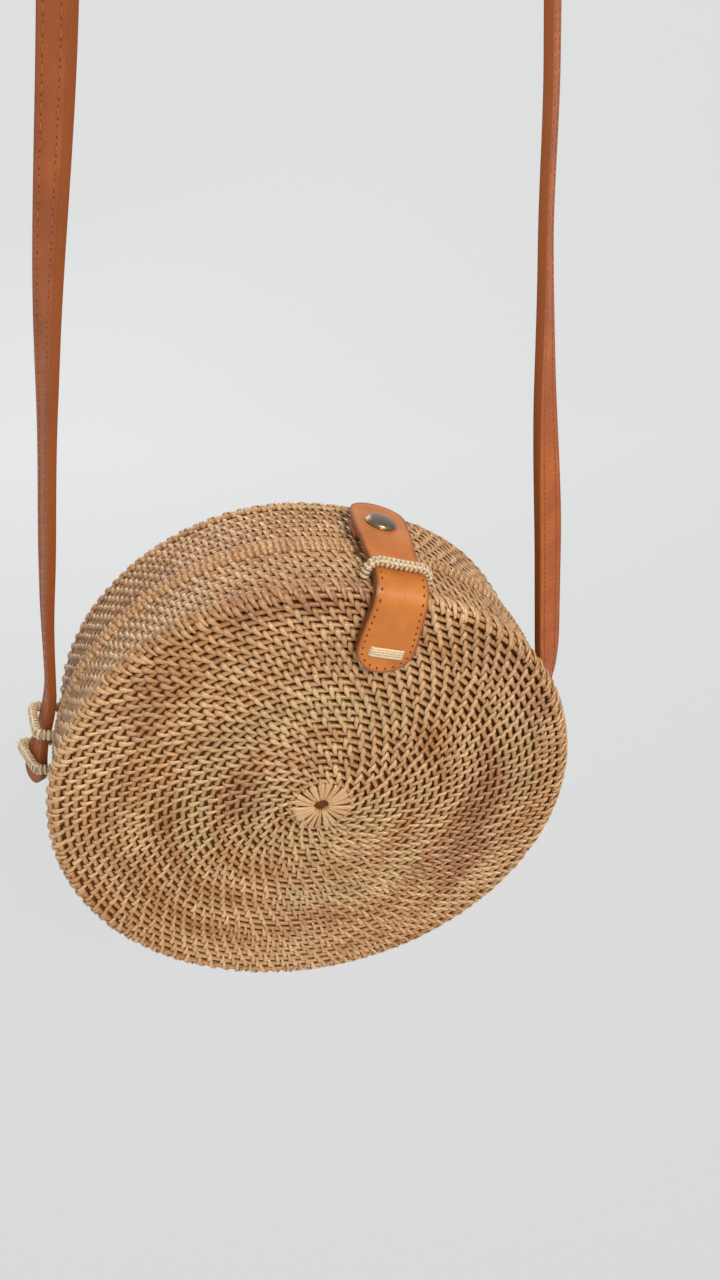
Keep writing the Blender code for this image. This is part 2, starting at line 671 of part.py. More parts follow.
def make_strap(parent):
    """The shoulder strap, up one leg, over the hook and down the other."""
    hook, lean, opening = belt_frame()
    centre = Vector((math.sin(lean), 0, math.cos(lean))) * HOOK_ABOVE_BAG + Vector((0, STRAP_Y, 0))
    over = []
    for step in range(HOOK_STATIONS + 1):
        angle = lean + (math.pi / 2 - opening) * (2 * step / HOOK_STATIONS - 1)
        normal = Vector((math.sin(angle), 0, math.cos(angle)))
        over.append((centre + normal * hook, Vector((0, 1, 0)), normal, STRAP_WIDTH / 2))
    stations = leg_stations("left") + over + list(reversed(leg_stations("right")))
    ribbon("shoulder_strap", stations, -STRAP_THICK / 2, STRAP_THICK / 2, LEATHER, parent)


clear_scene()
PARTS = new_collection("round_woven_bag")
CUTTERS = new_collection("cutters")

# The bag's own axes, hung below the strap's highest inner point and rolled about Y.
hang_drop = HOOK_ABOVE_BAG + HOOK_RADIUS
bag_axes = new_empty("bag_axes", None, (0, -STRAP_Y, -hang_drop), (0, math.radians(HANG_TILT_DEG), 0))
swing_left = strap_point("left", strap_marks("left")[1])[0]
swing_right = strap_point("right", strap_marks("right")[1])[0]
swing_place = (swing_left + swing_right) / 2
lid_place = Vector((0, SEAM_Y, HINGE_Z))
flap_place = Vector((0, flap_root_y(), tab_top()))
AXIS_PLACES = {"back_half": swing_place, "front_half": lid_place, "flap_body": flap_place}
back_half = new_empty("back_half", bag_axes, swing_place)
front_half = new_empty("front_half", back_half, lid_place - swing_place)
flap_body = new_empty("flap_body", front_half, flap_place - lid_place)

front_shell = make_half("front", FRONT_DEPTH, 0.0, front_half, (math.pi / 2, 0, 0))
back_shell = make_half("back", BACK_DEPTH, BACK_CROWN, back_half, (-math.pi / 2, 0, 0))
hinge_slots(front_shell, "front", -1, front_half)
hinge_slots(back_shell, "back", 1, back_half)
make_hinge_loops(back_half)
make_front_tab(front_half)
make_snap_flap(flap_body)
make_stud_patch(back_half)
make_strap(bag_axes)
for strap_end_side in ("left", "right"):
    make_strap_end(strap_end_side, back_half)
    make_side_loops(strap_end_side, back_half)

bpy.context.view_layer.update()
print("swing line through", [round(v, 5) for v in bag_axes.matrix_world @ swing_left],
      [round(v, 5) for v in bag_axes.matrix_world @ swing_right])
print("lid hinge at", [round(v, 5) for v in bag_axes.matrix_world @ lid_place])
print("flap hinge at", [round(v, 5) for v in bag_axes.matrix_world @ flap_place])
print("bag centre at", [round(v, 5) for v in bag_axes.matrix_world.translation])
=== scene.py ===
import random
from math import asin, atan2, cos, degrees, hypot, pi, radians, sin, tau

import bmesh
import bpy
import numpy as np
from mathutils import Euler, Matrix, Vector, noise


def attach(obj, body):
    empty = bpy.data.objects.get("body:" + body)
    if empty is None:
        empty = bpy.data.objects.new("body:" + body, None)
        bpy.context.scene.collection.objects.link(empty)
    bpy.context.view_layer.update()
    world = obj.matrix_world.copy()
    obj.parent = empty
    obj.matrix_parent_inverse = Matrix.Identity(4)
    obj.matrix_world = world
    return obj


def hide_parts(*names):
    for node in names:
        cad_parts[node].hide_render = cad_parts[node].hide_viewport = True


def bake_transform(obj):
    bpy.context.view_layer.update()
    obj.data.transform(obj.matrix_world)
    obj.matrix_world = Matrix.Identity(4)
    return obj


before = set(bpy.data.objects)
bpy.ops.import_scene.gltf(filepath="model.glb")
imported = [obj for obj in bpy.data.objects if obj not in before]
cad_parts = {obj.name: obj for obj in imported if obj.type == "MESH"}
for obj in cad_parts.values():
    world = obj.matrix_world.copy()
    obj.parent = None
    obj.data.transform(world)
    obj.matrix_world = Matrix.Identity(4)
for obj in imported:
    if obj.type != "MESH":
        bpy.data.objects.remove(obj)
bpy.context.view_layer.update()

scene = bpy.context.scene
scene.view_settings.view_transform = "Standard"
dice = random.Random(27)
print("frame loaded:", len(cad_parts), "nodes")

# The bag is measured in millimetres about its own middle, X right, Y back, Z towards the tab.
# It hangs leaning to one side, so every finished mesh is turned into the row frame at the end.
hang = {"lean": 15.0, "drop": 563.0, "forward": 10.5}
mm = 0.001
bagToRow = (Matrix.Translation((0, -hang["forward"] * mm, -hang["drop"] * mm))
            @ Matrix.Rotation(radians(hang["lean"]), 4, "Y") @ Matrix.Scale(mm, 4))
seam = -2.0          # Y of the line where the two dishes meet
wallRadius = 99.4    # crest of the strands on the side wall

# The pull of the closed tab has flattened the rim a little under it.
flatSpot = {"depth": 2.1, "halfAngle": 31.0, "fromRadius": 70.0, "toRadius": 97.0}


def rowPoint(x, y, z):
    return bagToRow @ Vector((x, y, z))


def soft(value):
    value = min(max(value, 0.0), 1.0)
    return value * value * (3 - 2 * value)


def linear(hexColour, alpha=1.0):
    parts = [int(hexColour[i:i + 2], 16) / 255 for i in (1, 3, 5)]
    return [p / 12.92 if p <= 0.04045 else ((p + 0.055) / 1.055) ** 2.4 for p in parts] + [alpha]


def addNode(tree, kind, links=None, **settings):
    node = tree.nodes.new("ShaderNode" + kind)
    for name, value in settings.items():
        setattr(node, name, value)
    for name, value in (links or {}).items():
        if isinstance(value, bpy.types.NodeSocket):
            tree.links.new(value, node.inputs[name])
        else:
            node.inputs[name].default_value = value
    return node.outputs


def newMaterial(name, **shader):
    material = bpy.data.materials.new(name)
    material.use_nodes = True
    tree = material.node_tree
    surface = tree.nodes["Principled BSDF"]
    for socket, value in shader.items():
        surface.inputs[socket.replace("_", " ")].default_value = value
    return material, tree, surface


def flatten(mesh):
    # Presses the top of the rim down, and leaves everything else where it is.
    spots = np.empty(len(mesh.vertices) * 3)
    mesh.vertices.foreach_get("co", spots)
    spots = spots.reshape(-1, 3)
    radius = np.hypot(spots[:, 0], spots[:, 2])
    angle = np.abs(np.degrees(np.arctan2(spots[:, 0], spots[:, 2])))
    near = np.clip(1 - angle / flatSpot["halfAngle"], 0, 1)
    start, end = flatSpot["fromRadius"], flatSpot["toRadius"]
    out = np.clip((radius - start) / (end - start), 0, 1)
    for share in (near, out):
        share[:] = share * share * (3 - 2 * share)
    kept = 1 - flatSpot["depth"] * near * out / np.maximum(radius, 1)
    for axis in (0, 2):
        spots[:, axis] *= kept
    mesh.vertices.foreach_set("co", spots.ravel())


def meshOf(shape, name):
    mesh = bpy.data.meshes.new(name)
    shape.to_mesh(mesh)
    shape.free()
    mesh.polygons.foreach_set("use_smooth", [True] * len(mesh.polygons))
    return mesh


def addObject(name, data):
    item = bpy.data.objects.new(name, data)
    scene.collection.objects.link(item)
    return item


def keepPiece(shape, name, material, body, replaced=(), settled=True, sharpOver=None):
    mesh = meshOf(shape, name)
    if settled:
        flatten(mesh)
    mesh.transform(bagToRow)
    if sharpOver:
        mesh.set_sharp_from_angle(angle=radians(sharpOver))
    mesh.materials.append(material)
    piece = addObject(name, mesh)
    if body:
        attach(piece, body)
    if replaced:
        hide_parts(*replaced)
    return piece


# Fitted to the outlines of both rims: metres, degrees, and pixels for the focal length.
photoView = {"eye": (-0.041217, -0.272594, -0.329276), "turn": (56.26354, -2.07073, -11.66207),
             "focal": 846.932, "height": 1280}

lens = bpy.data.cameras.new("photoCamera")
lens.sensor_fit = "VERTICAL"
lens.sensor_height = 36
lens.lens = photoView["focal"] / photoView["height"] * lens.sensor_height
lens.clip_start = 0.01
scene.camera = addObject("photoCamera", lens)
scene.camera.matrix_world = Matrix.LocRotScale(
    Vector(photoView["eye"]), Euler([radians(angle) for angle in photoView["turn"]]), None)
print("camera placed")

# deep is the dark brown of the painted shade at the strand feet and coil undersides
vineLook = {"straw": "#cda87c", "toast": "#a67443", "green": "#bdab7c", "russet": "#8d5a45",
            "paintedShade": "#8c4f1a", "streakMm": 0.5, "blotchMm": 11, "rough": 0.32}


def makeVine():
    # Split ata vine, dried and smoked over a fire: a hard, slightly waxy skin with fine fibre lines,
    # which catches small sharp glints. The "vine" attribute holds shade, green share and russet share.
    material, tree, surface = newMaterial("smokedAtaVine", Roughness=vineLook["rough"], Coat_Weight=0.12,
                                          Coat_Roughness=0.2, Specular_IOR_Level=0.35)
    vine = addNode(tree, "Attribute", attribute_name="vine")
    parts = addNode(tree, "SeparateColor", {"Color": vine["Color"]})
    place = addNode(tree, "TexCoord")["Object"]
    streak = addNode(tree, "TexNoise", {"Vector": place, "Scale": 1 / (vineLook["streakMm"] * mm * 2),
                     "Detail": 2.0})["Fac"]
    blotch = addNode(tree, "TexNoise", {"Vector": place, "Scale": 1 / (vineLook["blotchMm"] * mm),
                     "Detail": 3.0})["Fac"]
    base = linear(vineLook["toast"])
    for share, colour in (("Red", "straw"), ("Green", "green"), ("Blue", "russet")):
        base = addNode(tree, "Mix", {0: parts[share], 6: base, 7: linear(vineLook[colour])},
                       data_type="RGBA")[2]
    fibre = addNode(tree, "MapRange", {"Value": streak, "From Min": 0.3, "From Max": 0.7,
                    "To Min": 0.84, "To Max": 1.08})[0]
    patch = addNode(tree, "MapRange", {"Value": blotch, "From Min": 0.35, "From Max": 0.65,
                    "To Min": 0.9, "To Max": 1.06})[0]
    both = addNode(tree, "Math", {0: fibre, 1: patch}, operation="MULTIPLY")[0]
    tone = addNode(tree, "VectorMath", {0: base, "Scale": both}, operation="SCALE")[0]
    # painted shade darkens the vine towards the foot of each strand and the hidden side of each coil
    # (attribute alpha)
    footShaded = addNode(tree, "Mix", {0: vine["Alpha"], 6: linear(vineLook["paintedShade"]), 7: tone},
                   data_type="RGBA")[2]
    tree.links.new(footShaded, surface.inputs["Base Color"])
    bump = addNode(tree, "Bump", {"Height": streak, "Strength": 0.3, "Distance": 0.0002})[0]
    tree.links.new(bump, surface.inputs["Normal"])
    return material


def mottle(tree, dark, light, perMetre, detail=2.0, roughness=0.5):
    # Two colours in an irregular mix, and the share that mixes them.
    place = addNode(tree, "TexCoord")["Object"]
    share = addNode(tree, "TexNoise", {"Vector": place, "Scale": perMetre, "Detail": detail,
                    "Roughness": roughness})["Fac"]
    return addNode(tree, "Mix", {0: share, 6: linear(dark), 7: linear(light)},
                   data_type="RGBA")[2], share


def makeHollow():
    # The inner side of the coils, coloured dark brown as painted shade, seen only as the dark of the
    # holes: matt.
    material, tree, surface = newMaterial("holeShadeCoilBacks", Roughness=0.9, Specular_IOR_Level=0.15)
    tone, _ = mottle(tree, "#52300f", "#704621", 260.0)
    tree.links.new(tone, surface.inputs["Base Color"])
    return material


caneLook = {"pale": "#d9c8a6", "shade": "#a88a61", "fibreMm": 0.35}


def makeCane():
    # Peeled rattan core: pale, dry and a little glossy, with long fine fibres and grey-brown dirt.
    material, tree, surface = newMaterial("peeledRattan", Roughness=0.42, Coat_Weight=0.15,
                                          Coat_Roughness=0.3)
    vine = addNode(tree, "Attribute", attribute_name="vine")["Color"]
    shade = addNode(tree, "SeparateColor", {"Color": vine})["Red"]
    place = addNode(tree, "TexCoord")["Object"]
    fibre = addNode(tree, "TexNoise", {"Vector": place, "Scale": 1 / (caneLook["fibreMm"] * mm * 2),
                    "Detail": 2.0})["Fac"]
    dirt = addNode(tree, "MapRange", {"Value": fibre, "From Min": 0.35, "From Max": 0.7,
                   "To Min": 0.1, "To Max": -0.25})[0]
    share = addNode(tree, "Math", {0: shade, 1: dirt}, operation="ADD", use_clamp=True)[0]
    tone = addNode(tree, "Mix", {0: share, 6: linear(caneLook["shade"]), 7: linear(caneLook["pale"])},
                   data_type="RGBA")[2]
    tree.links.new(tone, surface.inputs["Base Color"])
    bump = addNode(tree, "Bump", {"Height": fibre, "Strength": 0.25, "Distance": 0.0002})[0]
    tree.links.new(bump, surface.inputs["Normal"])
    return material


# Clouds, pores and grain for each metre. Real pores are about 0.4 mm apart, and are drawn
# coarser than life so that they show.
leatherLook = {"clouds": 75.0, "pores": 1500.0, "grain": 600.0, "edgeMm": 1.5, "edgeShare": 0.85}


def makeLeather(name, face, shade, edge, halfWidth, rough, shine):
    # Vegetable-tanned cowhide, oiled: smooth grain, darker where it is handled, edges burnished brown.
    # The "strip" attribute holds millimetres across, along and through each cut strip.
    material, tree, surface = newMaterial(name, Roughness=rough, Coat_Weight=shine / 4,
                                          Coat_Roughness=0.35, Specular_IOR_Level=shine)
    place = addNode(tree, "TexCoord")["Object"]
    cloud = addNode(tree, "TexNoise", {"Vector": place, "Scale": leatherLook["clouds"], "Detail": 4.0,
                    "Roughness": 0.6})["Fac"]
    share = addNode(tree, "MapRange", {"Value": cloud, "From Min": 0.32, "From Max": 0.68})[0]
    tone = addNode(tree, "Mix", {0: share, 6: linear(shade), 7: linear(face)},
                   data_type="RGBA")[2]
    strip = addNode(tree, "Attribute", attribute_name="strip")["Vector"]
    side = addNode(tree, "SeparateXYZ", {"Vector": strip})["X"]
    across = addNode(tree, "Math", {0: side}, operation="ABSOLUTE")[0]
    burnt = addNode(tree, "MapRange", {"Value": across, "From Min": halfWidth - leatherLook["edgeMm"],
                    "From Max": halfWidth + 0.1, "To Min": 0.0, "To Max": leatherLook["edgeShare"]},
                    interpolation_type="SMOOTHSTEP")[0]
    tone = addNode(tree, "Mix", {0: burnt, 6: tone, 7: linear(edge)}, data_type="RGBA")[2]
    tree.links.new(tone, surface.inputs["Base Color"])
    pores = addNode(tree, "TexVoronoi", {"Vector": place, "Scale": leatherLook["pores"]})
    grain = addNode(tree, "TexNoise", {"Vector": place, "Scale": leatherLook["grain"], "Detail": 3.0})
    relief = addNode(tree, "Math", {0: pores["Distance"], 1: grain["Fac"]},
                     operation="ADD")[0]
    bump = addNode(tree, "Bump", {"Height": relief, "Strength": 0.3, "Distance": 0.00025})[0]
    tree.links.new(bump, surface.inputs["Normal"])
    return material


def makeThread(name, colour, dark):
    # Waxed linen thread, twisted: matt with tiny light and dark turns.
    material, tree, surface = newMaterial(name, Roughness=0.65, Specular_IOR_Level=0.3)
    tone, _ = mottle(tree, dark, colour, 1800.0)
    # each end sinks into its dark hole (attribute alpha)
    ends = addNode(tree, "Attribute", attribute_name="vine")["Alpha"]
    sunk = addNode(tree, "Mix", {0: ends, 6: linear("#3a1807"), 7: tone}, data_type="RGBA")[2]
    tree.links.new(sunk, surface.inputs["Base Color"])
    return material


def makeBrass():
    # Brass snap fittings with an antique nickel-brown wash, brighter and smoother in random patches.
    material, tree, surface = newMaterial("antiqueBrass", Metallic=1.0)
    tone, patina = mottle(tree, "#5d5040", "#a3917a", 420.0, 5.0, 0.65)
    tree.links.new(tone, surface.inputs["Base Color"])
    rough = addNode(tree, "MapRange", {"Value": patina, "From Min": 0.3, "From Max": 0.7,
                    "To Min": 0.42, "To Max": 0.24})[0]
    tree.links.new(rough, surface.inputs["Roughness"])
    return material


def makeCotton():
    # Unbleached plain-weave cotton, glued inside the dishes: matt, threads about 0.5 mm apart,
    # drawn at 0.9 mm so that they show. The piece's own UV map is in millimetres.
    material, tree, surface = newMaterial("plainCotton", Roughness=0.9, Specular_IOR_Level=0.2,
                                          Sheen_Weight=0.25)
    place = addNode(tree, "UVMap", uv_map="cloth")["UV"]
    waves = [addNode(tree, "TexWave", {"Vector": place, "Scale": 0.36, "Distortion": 0.4,
                     "Detail": 1.0}, bands_direction=way)["Fac"] for way in ("X", "Y")]
    woven = addNode(tree, "Math", {0: waves[0], 1: waves[1]}, operation="MULTIPLY")[0]
    tone = addNode(tree, "Mix", {0: woven, 6: linear("#a5906b"), 7: linear("#d3c09a")},
                   data_type="RGBA")[2]
    tree.links.new(tone, surface.inputs["Base Color"])
    bump = addNode(tree, "Bump", {"Height": woven, "Strength": 0.4, "Distance": 0.0003})[0]
    tree.links.new(bump, surface.inputs["Normal"])
    return material


vineSkin = makeVine()
holeShadeSheet = makeHollow()
paleCane = makeCane()
strapLeather = makeLeather("oiledStrapLeather", "#ad5c27", "#964a1d", "#84451a", 6.5, 0.55, 0.28)
tabLeather = makeLeather("tanTabLeather", "#c4762f", "#b06224", "#7c3f17", 10.3, 0.45, 0.38)
thread = makeThread("waxedThread", "#a9622e", "#8a4c20")
tabThread = makeThread("darkWaxedThread", "#6f3a1a", "#452009")
brass = makeBrass()
cotton = makeCotton()
print("materials made")


def drawnTube(steps, sides, closed=False):
    # A circle drawn out step by step. Z holds the number of the step until the caller places it.
    shape = bmesh.new()
    bmesh.ops.create_circle(shape, segments=sides, radius=0.5)
    edges = shape.edges[:]
    for step in range(1, steps + 1):
        grown = bmesh.ops.extrude_edge_only(shape, edges=edges)["geom"]
        ring = {g for g in grown if isinstance(g, bmesh.types.BMVert)}
        edges = [g for g in grown if isinstance(g, bmesh.types.BMEdge) and ring.issuperset(g.verts)]
        for vert in ring:
            vert.co.z = step
    if closed:
        bmesh.ops.bridge_loops(shape, edges=[e for e in shape.edges if e.is_boundary])
    else:
        bmesh.ops.holes_fill(shape, edges=shape.edges[:])
    return shape


def tinted(shape, name, tint=None):
    bmesh.ops.recalc_face_normals(shape, faces=shape.faces)
    mesh = meshOf(shape, name)
    layer = mesh.attributes.new("vine", "FLOAT_COLOR", "POINT")
    if tint:
        layer.data.foreach_set("color", list(tint) * len(mesh.vertices))
    return mesh


def makeStrand(name, line, widths, thick, sides=6):
    # A flat strand along a line of points (side, on, out), as wide at each as widths says.
    shape = drawnTube(len(line) - 1, sides)
    for vert in shape.verts:
        step = round(vert.co.z)
        before, after = (Vector(line[i]) for i in (max(step - 1, 0), min(step + 1, len(line) - 1)))
        slope = atan2(after.z - before.z, after.y - before.y)
        end = abs(2 * step / (len(line) - 1) - 1)
        across, up = vert.co.x * widths[step], vert.co.y * thick * (1 - 0.3 * end ** 3)
        vert.co = Vector(line[step]) + Vector((across, -up * sin(slope), up * cos(slope)))
    return tinted(shape, name)


def stamp(shape, template, place, tint, endShade=None):
    copy = template.copy()
    copy.transform(place)
    colours = list(tint) * len(copy.vertices)
    # the listed vertices get their painted shade in the alpha
    if endShade:
        for index in endShade:
            colours[index * 4 + 3] = endShade[index]
    copy.attributes["vine"].data.foreach_set("color", colours)
    shape.from_mesh(copy, face_normals=False, vertex_normals=False)
    bpy.data.meshes.remove(copy)


def standAt(place, *axes):
    # Stands a shape at a place, with its own X, Y and Z along the given axes.
    return Matrix.Translation(place) @ Matrix(axes).transposed().to_4x4()


def around(turn):
    # The directions outward and clockwise, at an angle from the tab.
    sine, cosine = sin(turn), cos(turn)
    return Vector((sine, 0, cosine)), Vector((cosine, 0, -sine))


weave = {"rosette": 21, "rosetteInner": 3.0, "rosetteOuter": 10.4, "faceRows": 26, "faceOuter": 94.0,
         "stitchPitch": 5.3, "stitchWidth": 2.3, "stitchReach": 3.35, "strandThick": 0.74,
         "coreRadius": 1.0, "rowShift": 0.5, "tail": 0.78, "jitter": 0.3, "rimTurns": 3,
         "rimRadius": 95.5, "rimThick": 4.5, "rimPitch": 3.4, "wallFirst": 6.6, "wallLast": 4.3}
# how far the surface turns from row to row, in radians for each millimetre
bends = {"face": 0.0, "rim": 0.18, "corner": 0.12, "wall": 0.03}
# depth under the crest, thickness, and distance from the mouth
layers = {"shell": (2.4, 0.6, 0.6), "lining": (3.6, 0.8, 9.2)}
crestHeight = weave["coreRadius"] + weave["strandThick"]    # top of a strand over its coil's middle

# Vines of one batch are used up over a few rows, which leaves arcs of another colour:
# radius, half width, from and to in degrees clockwise from the tab, strength, and which colour.
frontBatches = [(49, 6, 228, 392, 0.5, "green"), (52, 7, 110, 190, 0.45, "green"),
                (80, 6, 40, 84, 0.35, "green"), (20, 12, 60, 300, 0.3, "green"),
                (69, 9, 58, 128, 0.5, "russet"), (32, 8, 245, 296, 0.5, "russet"),
                (95, 5, 318, 372, 0.5, "russet"), (67, 8, 150, 186, 0.3, "russet"),
                (84, 5, 285, 315, 0.35, "russet"), (90, 5, 10, 60, 0.3, "russet"),
                (94, 7, 100, 140, 0.2, "green")]
backBatches = [(38, 6, 20, 150, 0.45, "green"), (61, 7, 200, 300, 0.45, "russet"),
               (80, 6, 60, 130, 0.35, "russet"), (74, 5, 300, 380, 0.4, "green"),
               (22, 6, 170, 260, 0.35, "russet")]
wallBatches = [(8, 4, 20, 80, 0.35, "russet"), (16, 4, 290, 330, 0.3, "green"),
               (14, 5, 150, 230, 0.35, "russet"), (20, 4, 90, 140, 0.3, "green")]


def batchTint(batches, across, angle):
    shares = {"green": 0.0, "russet": 0.0}
    for middle, half, start, end, strength, kind in batches:
        ahead = (angle - start) % 360
        if ahead <= end - start:
            edge = soft(min(ahead, end - start - ahead) / 12)
            share = strength * edge * soft(1.6 * (1 - abs(across - middle) / (half * 1.6)))
            shares[kind] = max(shares[kind], share)
    return shares["green"], shares["russet"]


def makeStitch(bend):
    # One stitch: over its own coil, then a tail that lies down beside the strand of the row before.
    line = [(-0.22, 1.62, -0.4), (-0.2, 1.5, 0.35), (-0.12, 1.0, 1.05), (0.0, 0.2, 1.31),
            (0.12, -0.7, 1.24), (0.3, -1.6, 1.04), (0.55, -2.5, 0.98), (0.8, -3.2, 0.78),
            (0.9, -3.6, 0.1)]
    line = [(side * weave["tail"], on, out - on * on * bend / 2) for side, on, out in line]
    widths = (0.6, 0.84, 0.98, 1.0, 0.94, 0.84, 0.7, 0.52, 0.36)
    return makeStrand("stitch", line, widths, weave["strandThick"])


def frontCrest(radius):
    return 29.6 + 0.5 * min(radius / 67, 1) + 0.066 * max(radius - 67, 0)


def backCrest(radius):
    return 38.5 - 2.9 * soft((radius - 62) / 36)


# Each half is woven in its own frame, with its face towards -Y and its mouth at Y 0.
halves = {
    "front": {"crest": frontCrest, "depth": 32.0, "body": "front_half", "batches": frontBatches,
              "place": Matrix.Translation((0, seam, 0)), "wallRows": 6},
    "back": {"crest": backCrest, "depth": 36.0, "body": "back_half", "batches": backBatches,
             "place": Matrix.Translation((0, seam, 0)) @ Matrix.Rotation(pi, 4, "Z"), "wallRows": 7},
}


def rowList(half):
    # Every coil of one dish from the middle outwards: radius, Y, its way on, and how it is stitched.
    rows = []

    def addRow(zone, radius, y, on, pitch, across, bend):
        out = (on[1], -on[0])      # from the crest down to the coil's own middle
        rows.append({"zone": zone, "radius": radius - out[0] * crestHeight,
                     "y": y - out[1] * crestHeight, "on": on, "out": out, "pitch": pitch,
                     "across": across, "bend": bends[bend]})

    crest, count = half["crest"], weave["faceRows"]
    start, reach = weave["rosetteOuter"], weave["faceOuter"] - weave["rosetteOuter"]
    for k in range(count):      # the rows lie closer together towards the rim
        share = (k + 0.5) / count
        radius = start + reach * share * (1.07 - 0.07 * share)
        slope = atan2(crest(radius - 1) - crest(radius + 1), 2)
        addRow("face", radius, -crest(radius), (cos(slope), sin(slope)),
               reach / count * (1.07 - 0.14 * share), radius, "face")
    middle, thick, count = weave["rimRadius"], weave["rimThick"], weave["rimTurns"]
    for k in range(count):
        turn = radians(-14 + 132 * (k + 0.5) / count)
        sine, cosine = sin(turn), cos(turn)
        addRow("rim", middle + thick * sine, thick - half["depth"] - thick * cosine, (cosine, sine),
               weave["rimPitch"], 95 + 2 * k, "rim")
    first, last, count = half["depth"] - weave["wallFirst"], weave["wallLast"], half["wallRows"]
    for k in range(count):
        depth = first + (last - first) * (k + 0.5) / count
        addRow("wall", wallRadius, -depth, (0, 1), (first - last) / count, depth,
               "wall" if k else "corner")
    return rows


def nextSpokes(spokes, wanted):
    # Where the ring has grown, a strand more goes into the widest gaps, and all of them even out.
    spokes = sorted(s % tau for s in spokes)
    while len(spokes) < wanted:
        gaps = [(after - s) % tau for s, after in zip(spokes, spokes[1:] + spokes[:1])]
        index = max((gap * dice.uniform(0.75, 1), i) for i, gap in enumerate(gaps))[1]
        spokes.insert(index + 1, spokes[index] + gaps[index] / 2)
    count = len(spokes)
    for _ in range(5):
        gaps = [(spokes[(i + 1) % count] - spokes[i]) % tau for i in range(count)]
        spokes = [s + 0.25 * (gaps[i] - gaps[i - 1]) for i, s in enumerate(spokes)]
    return sorted(s % tau for s in spokes)


def tintOf(half, row, turn, pick):
    batches = wallBatches if row["zone"] == "wall" else half["batches"]
    green, russet = batchTint(batches, row["across"], degrees(turn) % 360)
    green, russet = green * dice.uniform(0.35, 1.25), russet * dice.uniform(0.3, 1.3)
    slow = noise.noise(Vector((row["across"] * 0.11, cos(turn) * 2.2, sin(turn) * 2.2)))
    shade = 0.66 + 0.6 * slow + pick
    return min(max(shade, 0), 1), min(green, 1), min(russet, 1), 1.0


def placeRow(half, row, turn):
    outward, clockwise = around(turn)
    on = outward * row["on"][0] + Vector((0, row["on"][1], 0))
    out = outward * row["out"][0] + Vector((0, row["out"][1], 0))
    spot = outward * row["radius"] + Vector((0, row["y"], 0))
    return half["place"] @ standAt(spot, clockwise, on, out)


def weaveRosette(half, shape, spokes):
    # Flat strands fan out from the small hole in the middle.
    inner, outer = weave["rosetteInner"], weave["rosetteOuter"] + 1.1
    line = [(0, inner, -1.9), (0, inner + 0.1, -0.7), (0, inner + 0.6, 0.05)]
    line += [(0, inner + 0.6 + (outer - inner - 1.8) * i / 4, 0.05 + 0.3 * sin(pi * i / 5))
             for i in range(1, 5)]
    line += [(0, outer - 0.5, 0.0), (0, outer, -0.8)]
    widths = [0.45 + 0.235 * y for _, y, _ in line]
    widths[-1] *= 0.7
    fan = makeStrand("rosetteStrand", line, widths, 1.0, sides=8)
    row = {"zone": "face", "radius": 0, "y": -half["crest"](5) + 0.6, "on": (1, 0), "out": (0, -1),
           "across": 5}
    for turn in spokes:
        lift = Matrix.Translation((0, 0, dice.uniform(-0.15, 0.15)))
        grow = Matrix.Diagonal((dice.uniform(0.82, 1.02), dice.uniform(0.96, 1.03), 1, 1))
        stamp(shape, fan, placeRow(half, row, turn) @ lift @ grow,
              tintOf(half, row, turn, dice.uniform(-0.05, 0.3)))


def weaveHalf(half):
    stitches = {bend: makeStitch(bend) for bend in bends.values()}
    # painted shade: each stitch is darker towards its low ends, where it dives under its neighbours
    foot = {v.index: 0.25 + 0.75 * soft((v.co.z + 0.25) / 0.9)
            for v in stitches[bends["face"]].vertices if v.co.z < 0.7}
    shapes, cores = ({zone: bmesh.new() for zone in ("face", "rim", "wall")} for _ in range(2))
    count = weave["rosette"]
    spokes = [tau * i / count + dice.uniform(-0.03, 0.03) for i in range(count)]
    weaveRosette(half, shapes["face"], spokes)
    for row in rowList(half):
        ring = tau * (row["radius"] + row["out"][0] * crestHeight)
        spokes = nextSpokes(spokes, max(count, round(ring / weave["stitchPitch"])))
        gap = ring / len(spokes)
        tight = min(gap / weave["stitchPitch"], 1.05)
        for turn in spokes:
            wide = weave["stitchWidth"] * tight * dice.uniform(0.8, 1.12)
            slant = dice.uniform(-0.16, 0.16)
            wobble = dice.uniform(-1, 1) * weave["jitter"] / row["radius"]
            tall = row["pitch"] / weave["stitchReach"] * dice.uniform(0.92, 1.06)
            cast = Matrix(((wide, slant, 0, 0), (0, tall, 0, 0),
                           (0, 0, dice.uniform(0.94, 1.08), 0), (0, 0, 0, 1)))
            stamp(shapes[row["zone"]], stitches[row["bend"]], placeRow(half, row, turn + wobble) @ cast,
                  tintOf(half, row, turn, dice.uniform(-0.3, 0.3)), foot)
        addCoil(cores[row["zone"]], half, row, len(spokes) * 2)
        spokes = [s - gap * weave["rowShift"] / (row["radius"] + 1e-6) for s in spokes]
    return shapes, cores


def coilMesh(radius, y, thick, steps, sides=6):
    shape = bmesh.new()
    ring = bmesh.ops.create_circle(shape, segments=sides, radius=thick,
                                   matrix=Matrix.Translation((radius, y, 0)))
    bmesh.ops.spin(shape, geom=ring["verts"] + shape.edges[:], cent=(0, 0, 0), axis=(0, 1, 0),
                   angle=tau, steps=steps, use_merge=True)
    return tinted(shape, "coil")


